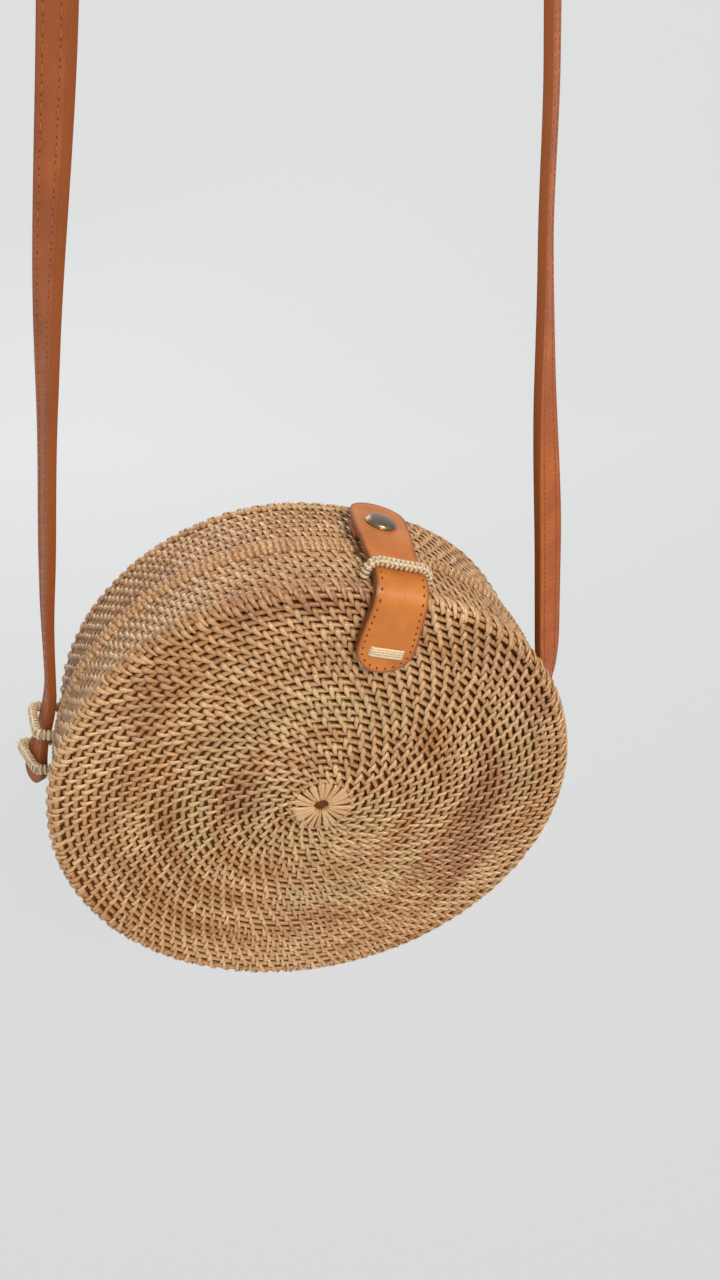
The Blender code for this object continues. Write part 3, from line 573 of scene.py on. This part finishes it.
def addCoil(shape, half, row, steps):
    # The coil that the strands are wrapped over, one vine after another.
    mesh = coilMesh(row["radius"], row["y"], weave["coreRadius"], steps)
    tints = {}
    colours = []
    for vert in mesh.vertices:
        turn = round(atan2(vert.co.x, vert.co.z) * steps / tau)
        if turn not in tints:
            # coils are drawn a little darker than the strands: painted shade under them
            tints[turn] = tintOf(half, row, turn * tau / steps, dice.uniform(-0.3, 0.0))
        # alpha: painted shade on the side of each coil that faces into the bag
        outside = ((hypot(vert.co.x, vert.co.z) - row["radius"]) * row["out"][0]
                   + (vert.co.y - row["y"]) * row["out"][1])
        colours += tints[turn][:3] + (0.35 + 0.55 * soft(outside / weave["coreRadius"]),)
    mesh.attributes["vine"].data.foreach_set("color", colours)
    mesh.transform(half["place"])
    shape.from_mesh(mesh, face_normals=False, vertex_normals=False)
    bpy.data.meshes.remove(mesh)


def turned(points, axis, steps, closed):
    # A section, spun once round an axis through the middle.
    shape = bmesh.new()
    verts = [shape.verts.new(point) for point in points]
    edges = [shape.edges.new(pair) for pair in zip(verts, verts[1:] + verts[:closed])]
    bmesh.ops.spin(shape, geom=verts + edges, cent=(0, 0, 0), axis=axis, angle=tau,
                   steps=steps, use_merge=True)
    bmesh.ops.remove_doubles(shape, verts=shape.verts, dist=0.001)
    bmesh.ops.recalc_face_normals(shape, faces=shape.faces)
    return shape


def innerLine(half, depthIn, mouth):
    # Radius and Y of a line that lies a given depth inside the strands, from the middle to the mouth.
    crest, depth, thick = half["crest"], half["depth"], weave["rimThick"]
    line = [(r, depthIn - crest(r)) for r in (0.0, 12, 25, 40, 52, 60, 66, 72, 78, 84, 89)]
    reach, deeper = max(thick - depthIn, 0.4), max(depthIn - thick + 0.4, 0)
    for step in range(6):
        turn = pi / 2 * step / 5
        line.append((weave["rimRadius"] + reach * sin(turn) - deeper,
                     thick - depth - reach * cos(turn) + deeper))
    return line + [(wallRadius - depthIn, 8 - depth), (wallRadius - depthIn, -mouth)]


def innerLayer(half, layer):
    depthIn, thick, mouth = layers[layer]
    section = innerLine(half, depthIn, mouth) + innerLine(half, depthIn + thick, mouth)[::-1]
    shape = turned([(r, y, 0) for r, y in section], (0, 1, 0), 96, True)
    bmesh.ops.transform(shape, matrix=half["place"], verts=shape.verts)
    return shape


for side, half in halves.items():
    shapes, cores = weaveHalf(half)
    for zone in shapes:
        keepPiece(shapes[zone], f"{side}_{zone}_strands", vineSkin, half["body"],
                  (side + "_rim_coil",) if zone == "rim" else ())
        keepPiece(cores[zone], f"{side}_{zone}_coils", vineSkin, half["body"])
    # the inner shell is coloured as the painted shade of the holes
    keepPiece(innerLayer(half, "shell"), side + "_inner_shell", holeShadeSheet, half["body"],
              (side + "_shell",))
    print(side, "woven")


# Rings wound round a core: of vine for the mouth coils, of pale cane for all the loops.
wrapLook = {"mouthRadius": 1.9, "mouthCoreRadius": 1.5, "mouthPitch": 2.35, "mouthMiddle": 98.1,
            "mouthOffset": 2.05, "mouthTilt": 0.22, "loopPitch": 1.72, "caneThick": 0.5,
            "ridgeRadius": 0.62}


def caneRing(name, radius, width, thick, sides=12):
    # One turn of flat cane: a short tube with rounded edges.
    shape = bmesh.new()
    bmesh.ops.create_circle(shape, segments=8, radius=0.5)
    for vert in shape.verts:
        vert.co = Vector((vert.co.x * width, radius - thick / 2 + vert.co.y * thick, 0))
    bmesh.ops.spin(shape, geom=shape.verts[:] + shape.edges[:], cent=(0, 0, 0), axis=(1, 0, 0),
                   angle=tau, steps=sides, use_merge=True)
    return tinted(shape, name)


class Route:
    # A smooth line through points, with its place and direction at any distance along it.
    def __init__(self, points, ease=0.8):
        self.points = [Vector(p) for p in points]
        self.marks = [0.0]
        for a, b in zip(self.points, self.points[1:]):
            self.marks.append(self.marks[-1] + (b - a).length)
        self.length = self.marks[-1]
        self.ease = ease

    def spot(self, along):
        index = 0
        while index < len(self.marks) - 2 and self.marks[index + 1] <= along:
            index += 1
        start, end = self.points[index], self.points[index + 1]
        share = (along - self.marks[index]) / (self.marks[index + 1] - self.marks[index])
        return start + (end - start) * share

    def at(self, along):
        before, after = self.spot(along - self.ease), self.spot(along + self.ease)
        return (before + self.spot(along) * 2 + after) / 4, (after - before).normalized()

    def frameAt(self, along, seed):
        # Its place there, with X along the route and Z away from the seed.
        place, way = self.at(along)
        side = way.cross(Vector(seed)).normalized()
        up = side.cross(way).normalized()
        return standAt(place, way, up, way.cross(up))


def archLine(halfSpan, foot, crest, corner):
    # Across and out: up from one foot, over, and down to the other.
    arm = [(halfSpan, foot)]
    for step in range(9):
        turn = pi / 2 * step / 8
        arm.append((halfSpan - corner * (1 - cos(turn)), crest - corner * (1 - sin(turn))))
    return [(-x, out) for x, out in arm] + arm[::-1]


def tubeAlong(route, radius, steps, sides, seed, closed=False, spread=1.0):
    shape = drawnTube(steps - closed, sides, closed)
    for vert in shape.verts:
        side, up, step = vert.co
        vert.co = route.frameAt(route.length * round(step) / steps, seed) @ Vector(
            (0, up * 2 * radius * spread, side * 2 * radius))
    return shape


def windCane(shape, template, route, pitch, seed, shade, tilt):
    count = max(round(route.length / pitch), 1)
    for index in range(count):
        along = route.length * (index + 0.5 + dice.uniform(-0.06, 0.06)) / count
        lean = Matrix.Rotation(tilt + dice.uniform(-0.05, 0.05), 4, "Y")
        grow = Matrix.Diagonal((dice.uniform(0.9, 1.08), 1, 1, 1))
        stamp(shape, template, route.frameAt(along, seed) @ lean @ grow,
              (min(max(shade + dice.uniform(-0.25, 0.25), 0), 1), 0, 0, 1))


def makeMouths():
    middle, pitch = wrapLook["mouthMiddle"], wrapLook["mouthPitch"]
    count = round(tau * middle / pitch)
    row = {"zone": "wall", "across": 3}
    for side, half in halves.items():
        y = wrapLook["mouthOffset"] * (-1 if side == "front" else 1) + seam
        turn = caneRing("mouthTurn", wrapLook["mouthRadius"], pitch * 0.74, 0.6, 10)
        turn.transform(Matrix.Rotation(wrapLook["mouthTilt"], 4, "Y"))
        shape = bmesh.new()
        for index in range(count):
            angle = tau * (index + dice.uniform(-0.12, 0.12)) / count
            outward, way = around(angle)
            place = standAt(outward * middle + Vector((0, y, 0)), way, outward, way.cross(outward))
            stamp(shape, turn, place, tintOf(half, row, angle, dice.uniform(-0.3, 0.2)))
        core = coilMesh(middle, y, wrapLook["mouthCoreRadius"], 120, 8)
        # painted shade between the turns: a darker tone, and alpha 0.6 towards the painted shade colour
        core.attributes["vine"].data.foreach_set("color", [0.3, 0.1, 0.3, 0.6] * len(core.vertices))
        shape.from_mesh(core)
        keepPiece(shape, side + "_mouth_wrapping", vineSkin, half["body"],
                  (side + "_mouth_coil",))


makeMouths()
print("mouth coils wrapped")

# Leather strips are cut flat, given their thickness and rounded edges, then laid along their route.
strapLook = {"width": 13.0, "thick": 2.8, "midRadius": 101.5, "y": 10.5, "hookAbove": 551.0,
             "hookRadius": 13.8, "tipDrop": 30.0, "twist": {"left": 42.0, "right": -31.0},
             "twistIn": 0.40, "twistOut": 0.70, "standOff": {"left": 1.5, "right": 6.0}, "loopTop": 30.55,
             "wallFree": 16.0, "toSwing": 6.8, "tipLift": 7.7, "tipOver": 3.0, "tipFree": 8.0,
             "stitchInset": 2.9, "stitchPitch": 4.3}


def cutStrip(width, length, thick, across, cells, roundStart, roundEnd, edge):
    # X across, Y along from 0, Z through the leather; ends are round where asked.
    shape = bmesh.new()
    bmesh.ops.create_grid(shape, x_segments=across, y_segments=cells, size=0.5)
    half, tip = width / 2, 7
    first, last = tip * roundStart, tip * roundEnd
    for vert in shape.verts:
        index = round((vert.co.y + 0.5) * cells)
        straight = (index - first) / (cells - first - last)
        along = half * roundStart + (length - half * (roundStart + roundEnd)) * straight
        spread = 1.0
        if index < first or cells - index < last:
            turn = pi / 2 * (index if index < first else cells - index) / tip
            along = half * (1 - cos(turn))
            spread = max(sin(turn), 0.03)
            along = along if index < first else length - along
        vert.co = Vector((vert.co.x * width * spread, along, 0))
    bmesh.ops.solidify(shape, geom=shape.faces[:], thickness=thick)
    sharp = [e for e in shape.edges if len(e.link_faces) == 2 and e.calc_face_angle(0) > 1.1]
    bmesh.ops.bevel(shape, geom=sharp, offset=edge, offset_type="OFFSET", segments=2, profile=0.5,
                    affect="EDGES", material=-1, clamp_overlap=True)
    low = min(v.co.z for v in shape.verts)
    bmesh.ops.translate(shape, verts=shape.verts, vec=(0, 0, -low))
    layer = shape.verts.layers.float_vector.new("strip")
    for vert in shape.verts:     # a round end is burnished like the sides
        gone = max(half - vert.co.y if roundStart else 0, vert.co.y - length + half if roundEnd else 0, 0)
        vert[layer] = (hypot(vert.co.x, gone), vert.co.y, vert.co.z)
    return shape


def layStrip(shape, frameAt):
    for vert in shape.verts:
        place, across, normal = frameAt(vert.co.y)
        vert.co = place + across * vert.co.x + normal * vert.co.z
    bmesh.ops.recalc_face_normals(shape, faces=shape.faces)
    return shape


def stitchMesh(length, width, height):
    # One thread stitch: a small pill.
    shape = bmesh.new()
    bmesh.ops.create_uvsphere(shape, u_segments=6, v_segments=6, radius=0.5)
    bmesh.ops.rotate(shape, verts=shape.verts, cent=(0, 0, 0), matrix=Matrix.Rotation(pi / 2, 3, "X"))
    bmesh.ops.scale(shape, verts=shape.verts, vec=(width, length, height))
    return tinted(shape, "threadStitch")


signs = {"left": -1, "right": 1}
opening = asin((strapLook["midRadius"] - strapLook["hookRadius"]) / strapLook["hookAbove"])
lowest = -asin(strapLook["tipDrop"] / strapLook["midRadius"])
# lengths of the strap: against each wall, in one free leg, over the hook, and from tip to tip
hugs = {side: (sign * radians(hang["lean"]) + opening - lowest) * strapLook["midRadius"]
        for side, sign in signs.items()}
leg = strapLook["hookAbove"] * cos(opening)
over = (pi - 2 * opening) * strapLook["hookRadius"]
strapLength = hugs["left"] + hugs["right"] + 2 * leg + over


def beltAt(side, along):
    # Middle of the strap, its width direction and outward normal, from its tip upwards.
    sign, hug, radius = signs[side], hugs[side], strapLook["midRadius"]
    lean, angle = radians(hang["lean"]), lowest + min(along, hug) / radius
    normal = Vector((sign * cos(angle), 0, sin(angle)))
    way = Vector((-sign * sin(angle), 0, cos(angle)))
    place = Vector((0, strapLook["y"], 0)) + normal * radius + way * max(along - hug, 0)
    level = Vector((cos(lean), 0, sin(lean)))
    fade = 1 - soft((along - hug - 300) / 240)
    off = strapLook["standOff"][side] * soft((along - strapLook["loopTop"]) / 50)
    swing = max(strapLook["loopTop"], hug + strapLook["wallFree"]) + strapLook["toSwing"]
    share = max(along - swing, 0) / (hug + leg - swing)
    out = 1 - soft((share - strapLook["twistOut"]) / (1 - strapLook["twistOut"]))
    twist = strapLook["twist"][side]
    if side == "right":      # turns to the front as it leaves its loops, then half back again
        off -= 1.6 * soft((along - 140) / 70) * (1 - soft((along - 250) / 50))
        twist *= soft((along - 36) / 64) * (1.9 - 0.9 * soft((along - 145) / 115))
    else:
        off -= 2.5 * soft((along - 170) / 90)
        twist *= soft(share / strapLook["twistIn"])
        twist += 12 * (1 - soft((along - 90) / 60))
    twist -= sign * 24 * (1 - soft((along + 3) / 26))    # the tip turns to the front
    place += level * sign * off * fade
    place += normal * strapLook["tipLift"] * max(1 - along / 42, 0) ** 1.5    # the tip stands away
    spin = Matrix.Rotation(radians(twist * out), 3, way)
    return place, spin @ Vector((0, 1, 0)), spin @ normal


def strapAt(along):
    start = hugs["left"] + leg      # of the bend over the hook
    if along <= start:
        return beltAt("left", along)
    if along > start + over:
        return beltAt("right", strapLength - along)
    lean = -radians(hang["lean"])
    angle = lean - (pi / 2 - opening) + (along - start) / strapLook["hookRadius"]
    place = around(lean)[0] * strapLook["hookAbove"] + Vector((0, strapLook["y"], 0))
    normal = around(angle)[0]
    return place + normal * strapLook["hookRadius"], Vector((0, 1, 0)), normal


def makeStrap():
    thick, beyond = strapLook["thick"], strapLook["tipOver"]
    shape = cutStrip(strapLook["width"], strapLength + beyond * 2, thick, 6, 330, True, True, 0.8)
    bmesh.ops.translate(shape, verts=shape.verts, vec=(0, -beyond, -thick / 2))
    layStrip(shape, strapAt)
    strap = keepPiece(shape, "leather_strap", strapLeather, None,
                      ("shoulder_strap", "strap_end_left", "strap_end_right"), settled=False)
    sewing = bmesh.new()
    template = stitchMesh(3.5, 0.9, 0.55)
    holes = {v.index: 0.0 for v in template.vertices if abs(v.co.y) > 1.4}
    sewn = strapLength - 2 * strapLook["tipFree"]
    count = round(sewn / strapLook["stitchPitch"])
    inset = strapLook["width"] / 2 - strapLook["stitchInset"]
    for index in range(count):
        along = strapLook["tipFree"] + sewn * (index + 0.5) / count
        place, across, normal = strapAt(along)
        ahead = (strapAt(along + 1)[0] - strapAt(along - 1)[0]).normalized()
        for side in (-inset, inset):
            for face in (-thick / 2, thick / 2):
                spot = place + across * side + normal * face
                stamp(sewing, template, standAt(spot, across, ahead, normal), (0, 0, 0, 1), holes)
    seams = keepPiece(sewing, "strap_stitching", thread, None, settled=False)
    for piece in (strap, seams):
        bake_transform(piece)


makeStrap()
print("strap laid, mm long:", round(strapLength))

tabLook = {"width": 20.6, "topThick": 1.6, "backThick": 1.2, "lowZ": 67.0, "loopY": -25.0,
           "waist": 0.1, "stitchInset": 1.8, "stitchPitch": 2.8, "flapEnd": 23.65, "flapWidth": 21.6}


def closureRoute(offset, last):
    # Underside of the tab at an offset from the weave, from its low end over the rim to the flap.
    bend = 4.8 + offset
    points = [(tabSlant(0), -32.3 - offset, tabLook["lowZ"])]
    for step in range(13):
        turn = pi / 2 * step / 12
        points.append((tabSlant(28 + 8 * turn), -29.5 - bend * cos(turn),
                       weave["rimRadius"] + bend * sin(turn)))
    return Route(points + [(tabSlant(26 - y), y, z) for y, z in last], 1.2)


def tabSlant(along):
    # The strip is sewn a touch askew, as handmade ones are.
    return 1.3 - 1.9 * soft(along / 34) + 1.0 * soft((along - 36) / 14)


def stripFrame(route):
    def frameAt(along):
        place, way = route.at(along)
        across = Vector((1, 0, 0))
        level = (across - way * across.dot(way)).normalized()
        return place, level, level.cross(way).normalized()
    return frameAt


def sewRow(shape, frameAt, spots, template, lift):
    for x, along, turn in spots:
        place, across, normal = frameAt(along)
        stand = standAt(place + across * x + normal * lift, across, normal.cross(across), normal)
        stamp(shape, template, stand @ Matrix.Rotation(turn, 4, "Z"), (0, 0, 0, 1))


def makeTab():
    width, half = tabLook["width"], tabLook["width"] / 2
    backRoute = closureRoute(0.0, [(-17.65, 100.3)])
    backing = cutStrip(width, backRoute.length, tabLook["backThick"], 8, 40, True, False, 0.3)
    topRoute = closureRoute(1.5, [(-20.0, 101.8), (-17.0, 101.85), (-13.0, 102.5), (-9.0, 103.25),
                                  (-5.0, 103.7), (4.0, 103.75), (tabLook["flapEnd"], 103.7)])
    frameAt = stripFrame(topRoute)
    top = cutStrip(width, topRoute.length, tabLook["topThick"], 8, 76, True, True, 0.45)
    length = topRoute.length
    wider = tabLook["flapWidth"] / width - 1
    for strip in (backing, top):      # a waist under the loop, and a flap that is cut a little wider
        for vert in strip.verts:
            along = vert.co.y
            waist = soft((along - 12) / 24) * (1 - soft((along - length + 46) / 24))
            flap = soft((along - length + 34) / 16)
            vert.co.x *= 1 - tabLook["waist"] * waist + wider * flap
    keepPiece(layStrip(backing, stripFrame(backRoute)), "tab_backing_leather", tabLeather,
              "front_half", ("front_tab_backing",))
    layStrip(top, frameAt)
    top = keepPiece(top, "closure_leather", tabLeather, None, ("front_tab", "snap_flap"))
    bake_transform(top)

    # stitches along both edges and round the low end, up to the wrapped loop
    inset = half - tabLook["stitchInset"]
    turns = [pi * index / 9 for index in range(1, 9)]
    spots = [(-inset * cos(t), half - inset * sin(t), pi / 2 - t) for t in turns]
    upTo = length - 53.0
    count = round((upTo - half) / tabLook["stitchPitch"])
    for index in range(count + 1):
        along = half + (upTo - half) * index / count
        edge = inset - half * tabLook["waist"] * soft((along - 12) / 24)
        spots += [(-edge, along, 0), (edge, along, 0)]
    sewing = bmesh.new()
    sewRow(sewing, frameAt, spots, stitchMesh(1.25, 0.72, 0.34), tabLook["topThick"] - 0.03)
    keepPiece(sewing, "tab_stitching", tabThread, "front_half")


makeTab()
print("tab and flap laid")


def wrappedLoop(name, points, seed, radius, body, node, ridges=(), steps=26, closed=False,
                pitch=wrapLook["loopPitch"], spread=1.0):
    route = Route(points, 0.7)
    shape = bmesh.new()
    core = tubeAlong(route, radius - 0.45, steps, 8, seed, closed, spread)
    # the core is drawn in the darkest cane tone: painted shade in the gaps between the turns
    shape.from_mesh(tinted(core, "core", (0.0, 0, 0, 1)))
    turn = caneRing("loopTurn", radius, pitch * 0.64, wrapLook["caneThick"])
    turn.transform(Matrix.Diagonal((1, spread, 1, 1)))
    windCane(shape, turn, route, pitch, seed, 0.75, 0.08)
    for ridge in ridges:      # the cane's crossing stitches make a cord along each side
        edge = Route([p + Vector(ridge) for p in route.points[1:-1]], 0.7)
        cord = wrapLook["ridgeRadius"]
        shape.from_mesh(tinted(tubeAlong(edge, cord * 0.8, steps, 6, seed), "cord", (0.6, 0, 0, 1)))
        bead = caneRing("ridgeBead", cord, pitch * 0.95, 0.4, 8)
        windCane(shape, bead, edge, pitch, seed, 0.95, 0.45)
    keepPiece(shape, name, paleCane, body, (node,))


# Arches: half span, foot and crest above the bag's middle, and radius of the corners.
loopLook = {"cane": 1.75, "tabArch": (11.3, 98.2, 105.2, 4.2), "sideArch": (8.7, 99.0, 105.5, 3.0)}
hingeLook = {"x": 9.0, "z": -100.3, "radius": 6.8, "cane": 0.9, "pitch": 1.35}


def makeLoops():
    arch = [(x - 0.2, tabLook["loopY"], z) for x, z in archLine(*loopLook["tabArch"])]
    wrappedLoop("tab_loop_cane", arch, (0, 1, 0), loopLook["cane"], "front_half", "front_tab_loop",
                ((0, -1.3, 0.9), (0, 1.3, 0.9)))
    halfSpan, foot, crest, corner = loopLook["sideArch"]
    for side, sign in signs.items():
        for level, drop, lift in (("upper", 5.0, 2.3), ("lower", 21.8, 5.3)):
            angle = -asin(drop / strapLook["midRadius"])
            outward = Vector((sign * cos(angle), 0, sin(angle)))
            down = Vector((sign * sin(angle), 0, -cos(angle))) * 1.8
            across = beltAt(side, (angle - lowest) * strapLook["midRadius"])[1]
            lean = across.dot(outward) / across.y / (crest + lift - foot)    # as the strap leans
            points = [Vector((0, strapLook["y"] + x, 0)) + outward * (out + x * lean * (out - foot))
                      for x, out in archLine(halfSpan, foot, crest + lift, corner)]
            wrappedLoop(f"side_cane_{side}_{level}", points, (0, 0, 1), loopLook["cane"], "back_half",
                        f"side_loop_{side}_{level}", (outward * 0.7 + down, outward * 0.7 - down),
                        spread=1.3)
        radius, z = hingeLook["radius"], hingeLook["z"]
        ring = [(sign * hingeLook["x"], seam + radius * cos(t), z + radius * sin(t))
                for t in (tau * i / 40 for i in range(41))]
        wrappedLoop(f"hinge_cane_{side}", ring, (1, 0, 0), hingeLook["cane"], "back_half",
                    "hinge_loop_" + side, steps=40, closed=True, pitch=hingeLook["pitch"])


makeLoops()
print("loops wrapped")

stapleLook = {"span": 12.4, "strands": 4, "strandWidth": 1.08, "z": 75.8}
patchLook = {"along": (2.4, 10, 20.4), "z": 99.7, "width": 19.0, "thick": 1.2, "staple": 12.0,
             "stapleY": 16.2, "strandWidth": 1.15, "strandPitch": 1.16}


def flatCane(name, span, width, thick, height):
    # A cane that comes out of the leather, lies flat on it and goes in again.
    half = span / 2
    line = [(0, -half, -1.4), (0, -half + 0.1, -0.3), (0, -half + 0.6, height * 0.8)]
    line += [(0, -half + 1.6 + (span - 3.2) * i / 4, height) for i in range(5)]
    line += [(0, half - 0.6, height * 0.8), (0, half - 0.1, -0.3), (0, half, -1.4)]
    return makeStrand(name, line, [width] * len(line), thick, sides=8)


def makeStaples():
    cane = flatCane("stapleCane", stapleLook["span"], stapleLook["strandWidth"], 0.7, 0.42)
    shape = bmesh.new()
    face = -32.3 - 0.07 * (stapleLook["z"] - 67) - 1.5 - 1.6
    toTab = Matrix(((0, 1, 0), (0, 0, -1), (1, 0, 0))).to_4x4()
    for index in range(stapleLook["strands"]):
        z = stapleLook["z"] + (index - (stapleLook["strands"] - 1) / 2) * stapleLook["strandWidth"] * 0.97
        place = Matrix.Translation((1.0 + dice.uniform(-0.15, 0.15), face, z)) @ toTab
        stamp(shape, cane, place, (0.8 + dice.uniform(-0.2, 0.2), 0, 0, 1))
    keepPiece(shape, "tab_staple_cane", paleCane, "front_half", ("front_tab_staple",))
    small = flatCane("patchCane", patchLook["staple"], patchLook["strandWidth"], 0.6, 0.3)
    shape = bmesh.new()
    toPatch = Matrix(((0, 1, 0), (-1, 0, 0), (0, 0, 1))).to_4x4()
    z, thick = patchLook["z"], patchLook["thick"]
    for shift in (-0.5, 0.5):
        y = patchLook["stapleY"] + shift * patchLook["strandPitch"]
        stamp(shape, small, Matrix.Translation((0, y, z + thick)) @ toPatch, (0.7, 0, 0, 1))
    keepPiece(shape, "patch_staple_cane", paleCane, "back_half", ("stud_patch_staple",))
    route = Route([(0, y, z) for y in patchLook["along"]])
    patch = cutStrip(patchLook["width"], route.length, thick, 6, 24, False, True, 0.3)
    keepPiece(layStrip(patch, stripFrame(route)), "patch_leather", tabLeather, "back_half",
              ("stud_patch",))


makeStaples()

snapLook = {"radius": 6.1, "height": 2.5, "y": 6.6, "z": 105.32}


def makeSnap():
    # A pressed cap: a low dome with its edge rolled under.
    radius, height = snapLook["radius"], snapLook["height"]
    line = [(0.0, height)]
    for step in range(1, 10):
        turn = pi / 2 * step / 9
        line.append(((radius - 0.5) * sin(turn), 0.75 + (height - 0.75) * cos(turn)))
    line += [(radius - 0.4, 0.6), (radius - 0.12, 0.62), (radius, 0.4), (radius - 0.12, 0.14),
             (radius - 0.7, 0.02), (0.0, 0.02)]
    shape = turned([(r, 0, z) for r, z in line], (0, 0, 1), 48, False)
    bmesh.ops.translate(shape, verts=shape.verts, vec=(0, snapLook["y"], snapLook["z"]))
    keepPiece(shape, "snap_cap_shell", brass, "flap", ("snap_cap",))
    # the inner fittings keep their shape, and settle with the rim that they sit on
    for name, body in (("snap_post", "flap"), ("snap_socket", "flap"), ("snap_stud", "back_half"),
                       ("stud_rivet", "back_half")):
        shape = bmesh.new()
        shape.from_mesh(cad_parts[name].data)
        bmesh.ops.remove_doubles(shape, verts=shape.verts, dist=1e-6)
        bmesh.ops.transform(shape, matrix=bagToRow.inverted(), verts=shape.verts)
        bmesh.ops.recalc_face_normals(shape, faces=shape.faces)
        keepPiece(shape, name + "_brass", brass, body, (name,), sharpOver=35)


makeSnap()


liningLook = {"radius": 95.0, "corner": 4.0}    # where the cloth is laid out, and what it rounds off


def makeLinings():
    radius = liningLook["radius"]
    for side, half in halves.items():
        shape = innerLayer(half, "lining")
        layer = shape.loops.layers.uv.new("cloth")
        for face in shape.faces:      # millimetres across the face, and round and down the wall
            middle = face.calc_center_median()
            turn = atan2(middle.x, middle.z) * radius
            for loop in face.loops:
                x, y, z = loop.vert.co
                onFace = abs(face.normal.y) > 0.5
                loop[layer].uv = (x, z) if onFace else (
                    turn + (x * middle.z - z * middle.x) / radius, y)
        lining = keepPiece(shape, side + "_cloth_lining", cotton, half["body"],
                           (side + "_lining",))


makeLinings()
print("linings, staples and snap made")

studio = {"floor": -0.95, "halfWidth": 5.0, "halfLength": 3.2, "flat": 1.0, "stretch": 1.5, "bend": 0.6,
          "pale": "#e8e9e9", "near": "#d6d7d7", "paper": "#cfcfd0", "glow": 0.8}


def makeStudio():
    shape = bmesh.new()
    bmesh.ops.create_grid(shape, x_segments=2, y_segments=60, size=1)
    flat, bend = studio["flat"], studio["bend"]
    for vert in shape.verts:
        along = vert.co.y * studio["halfLength"]      # metres along the floor, then up the backdrop
        turn = min(max((along - flat) / bend, 0), pi / 2)
        rise = bend * (1 - cos(turn)) + max(along - flat - bend * pi / 2, 0)
        vert.co = Vector((vert.co.x * studio["halfWidth"], min(along, flat) * studio["stretch"]
                          + bend * sin(turn), studio["floor"] + rise))
    mesh = meshOf(shape, "studioSheet")
    material, tree, surface = newMaterial("palePaper", Roughness=0.9, Specular_IOR_Level=0.1)
    surface.inputs["Base Color"].default_value = linear(studio["paper"])
    # the camera and bright metal see a nearly even pale sheet that still holds a soft shadow
    rays = addNode(tree, "LightPath")
    seen = addNode(tree, "Math", {0: rays["Is Camera Ray"], 1: rays["Is Glossy Ray"]},
                   operation="MAXIMUM")[0]
    share = addNode(tree, "Math", {0: seen, 1: studio["glow"]}, operation="MULTIPLY")[0]
    # painted shade: the glow is darker near the front and paler up the backdrop
    place = addNode(tree, "TexCoord")["Object"]
    back = addNode(tree, "SeparateXYZ", {"Vector": place})["Y"]
    away = addNode(tree, "MapRange", {"Value": back, "From Min": -0.3, "From Max": 1.3})[0]
    shadedGlow = addNode(tree, "Mix", {0: away, 6: linear(studio["near"]), 7: linear(studio["pale"])},
                    data_type="RGBA")[2]
    glow = addNode(tree, "Emission", {"Color": shadedGlow, "Strength": 1.0})[0]
    both = addNode(tree, "MixShader", {0: share, 1: surface.outputs[0], 2: glow})[0]
    tree.links.new(both, tree.nodes["Material Output"].inputs["Surface"])
    mesh.materials.append(material)
    addObject("studioSheet", mesh)


def makeLamp(name, way, far, size, power, colour="#ffffff"):
    light = bpy.data.lights.new(name, "AREA")
    light.shape = "DISK"
    light.size = size
    light.energy = power
    light.color = linear(colour)[:3]
    way = Vector(way).normalized()
    lamp = addObject(name, light)
    lamp.matrix_world = Matrix.LocRotScale(rowPoint(0, 0, 0) + way * far,
                                           way.to_track_quat("Z", "Y"), None)


makeStudio()
makeLamp("ceilingLight", (0.25, -0.7, 0.66), 1.6, 0.5, 20, "#fff6ea")
makeLamp("leftFill", (-1.0, -0.9, 0.3), 1.8, 1.4, 3.2)
makeLamp("backFill", (-0.3, 1.0, 0.5), 1.8, 1.4, 14)
world = bpy.data.worlds.new("paleRoom")
world.use_nodes = True
room = world.node_tree
background = room.nodes["Background"]
background.inputs["Color"].default_value = linear("#f2f4f7")
background.inputs["Strength"].default_value = 0.62
# the camera sees the room as pale as the paper, whichever way it looks
rays = addNode(room, "LightPath")["Is Camera Ray"]
seen = addNode(room, "Background", {"Color": linear(studio["pale"]), "Strength": 0.97})[0]
both = addNode(room, "MixShader", {0: rays, 1: background.outputs[0], 2: seen})[0]
room.links.new(both, room.nodes["World Output"].inputs["Surface"])
scene.world = world
print("studio lit")
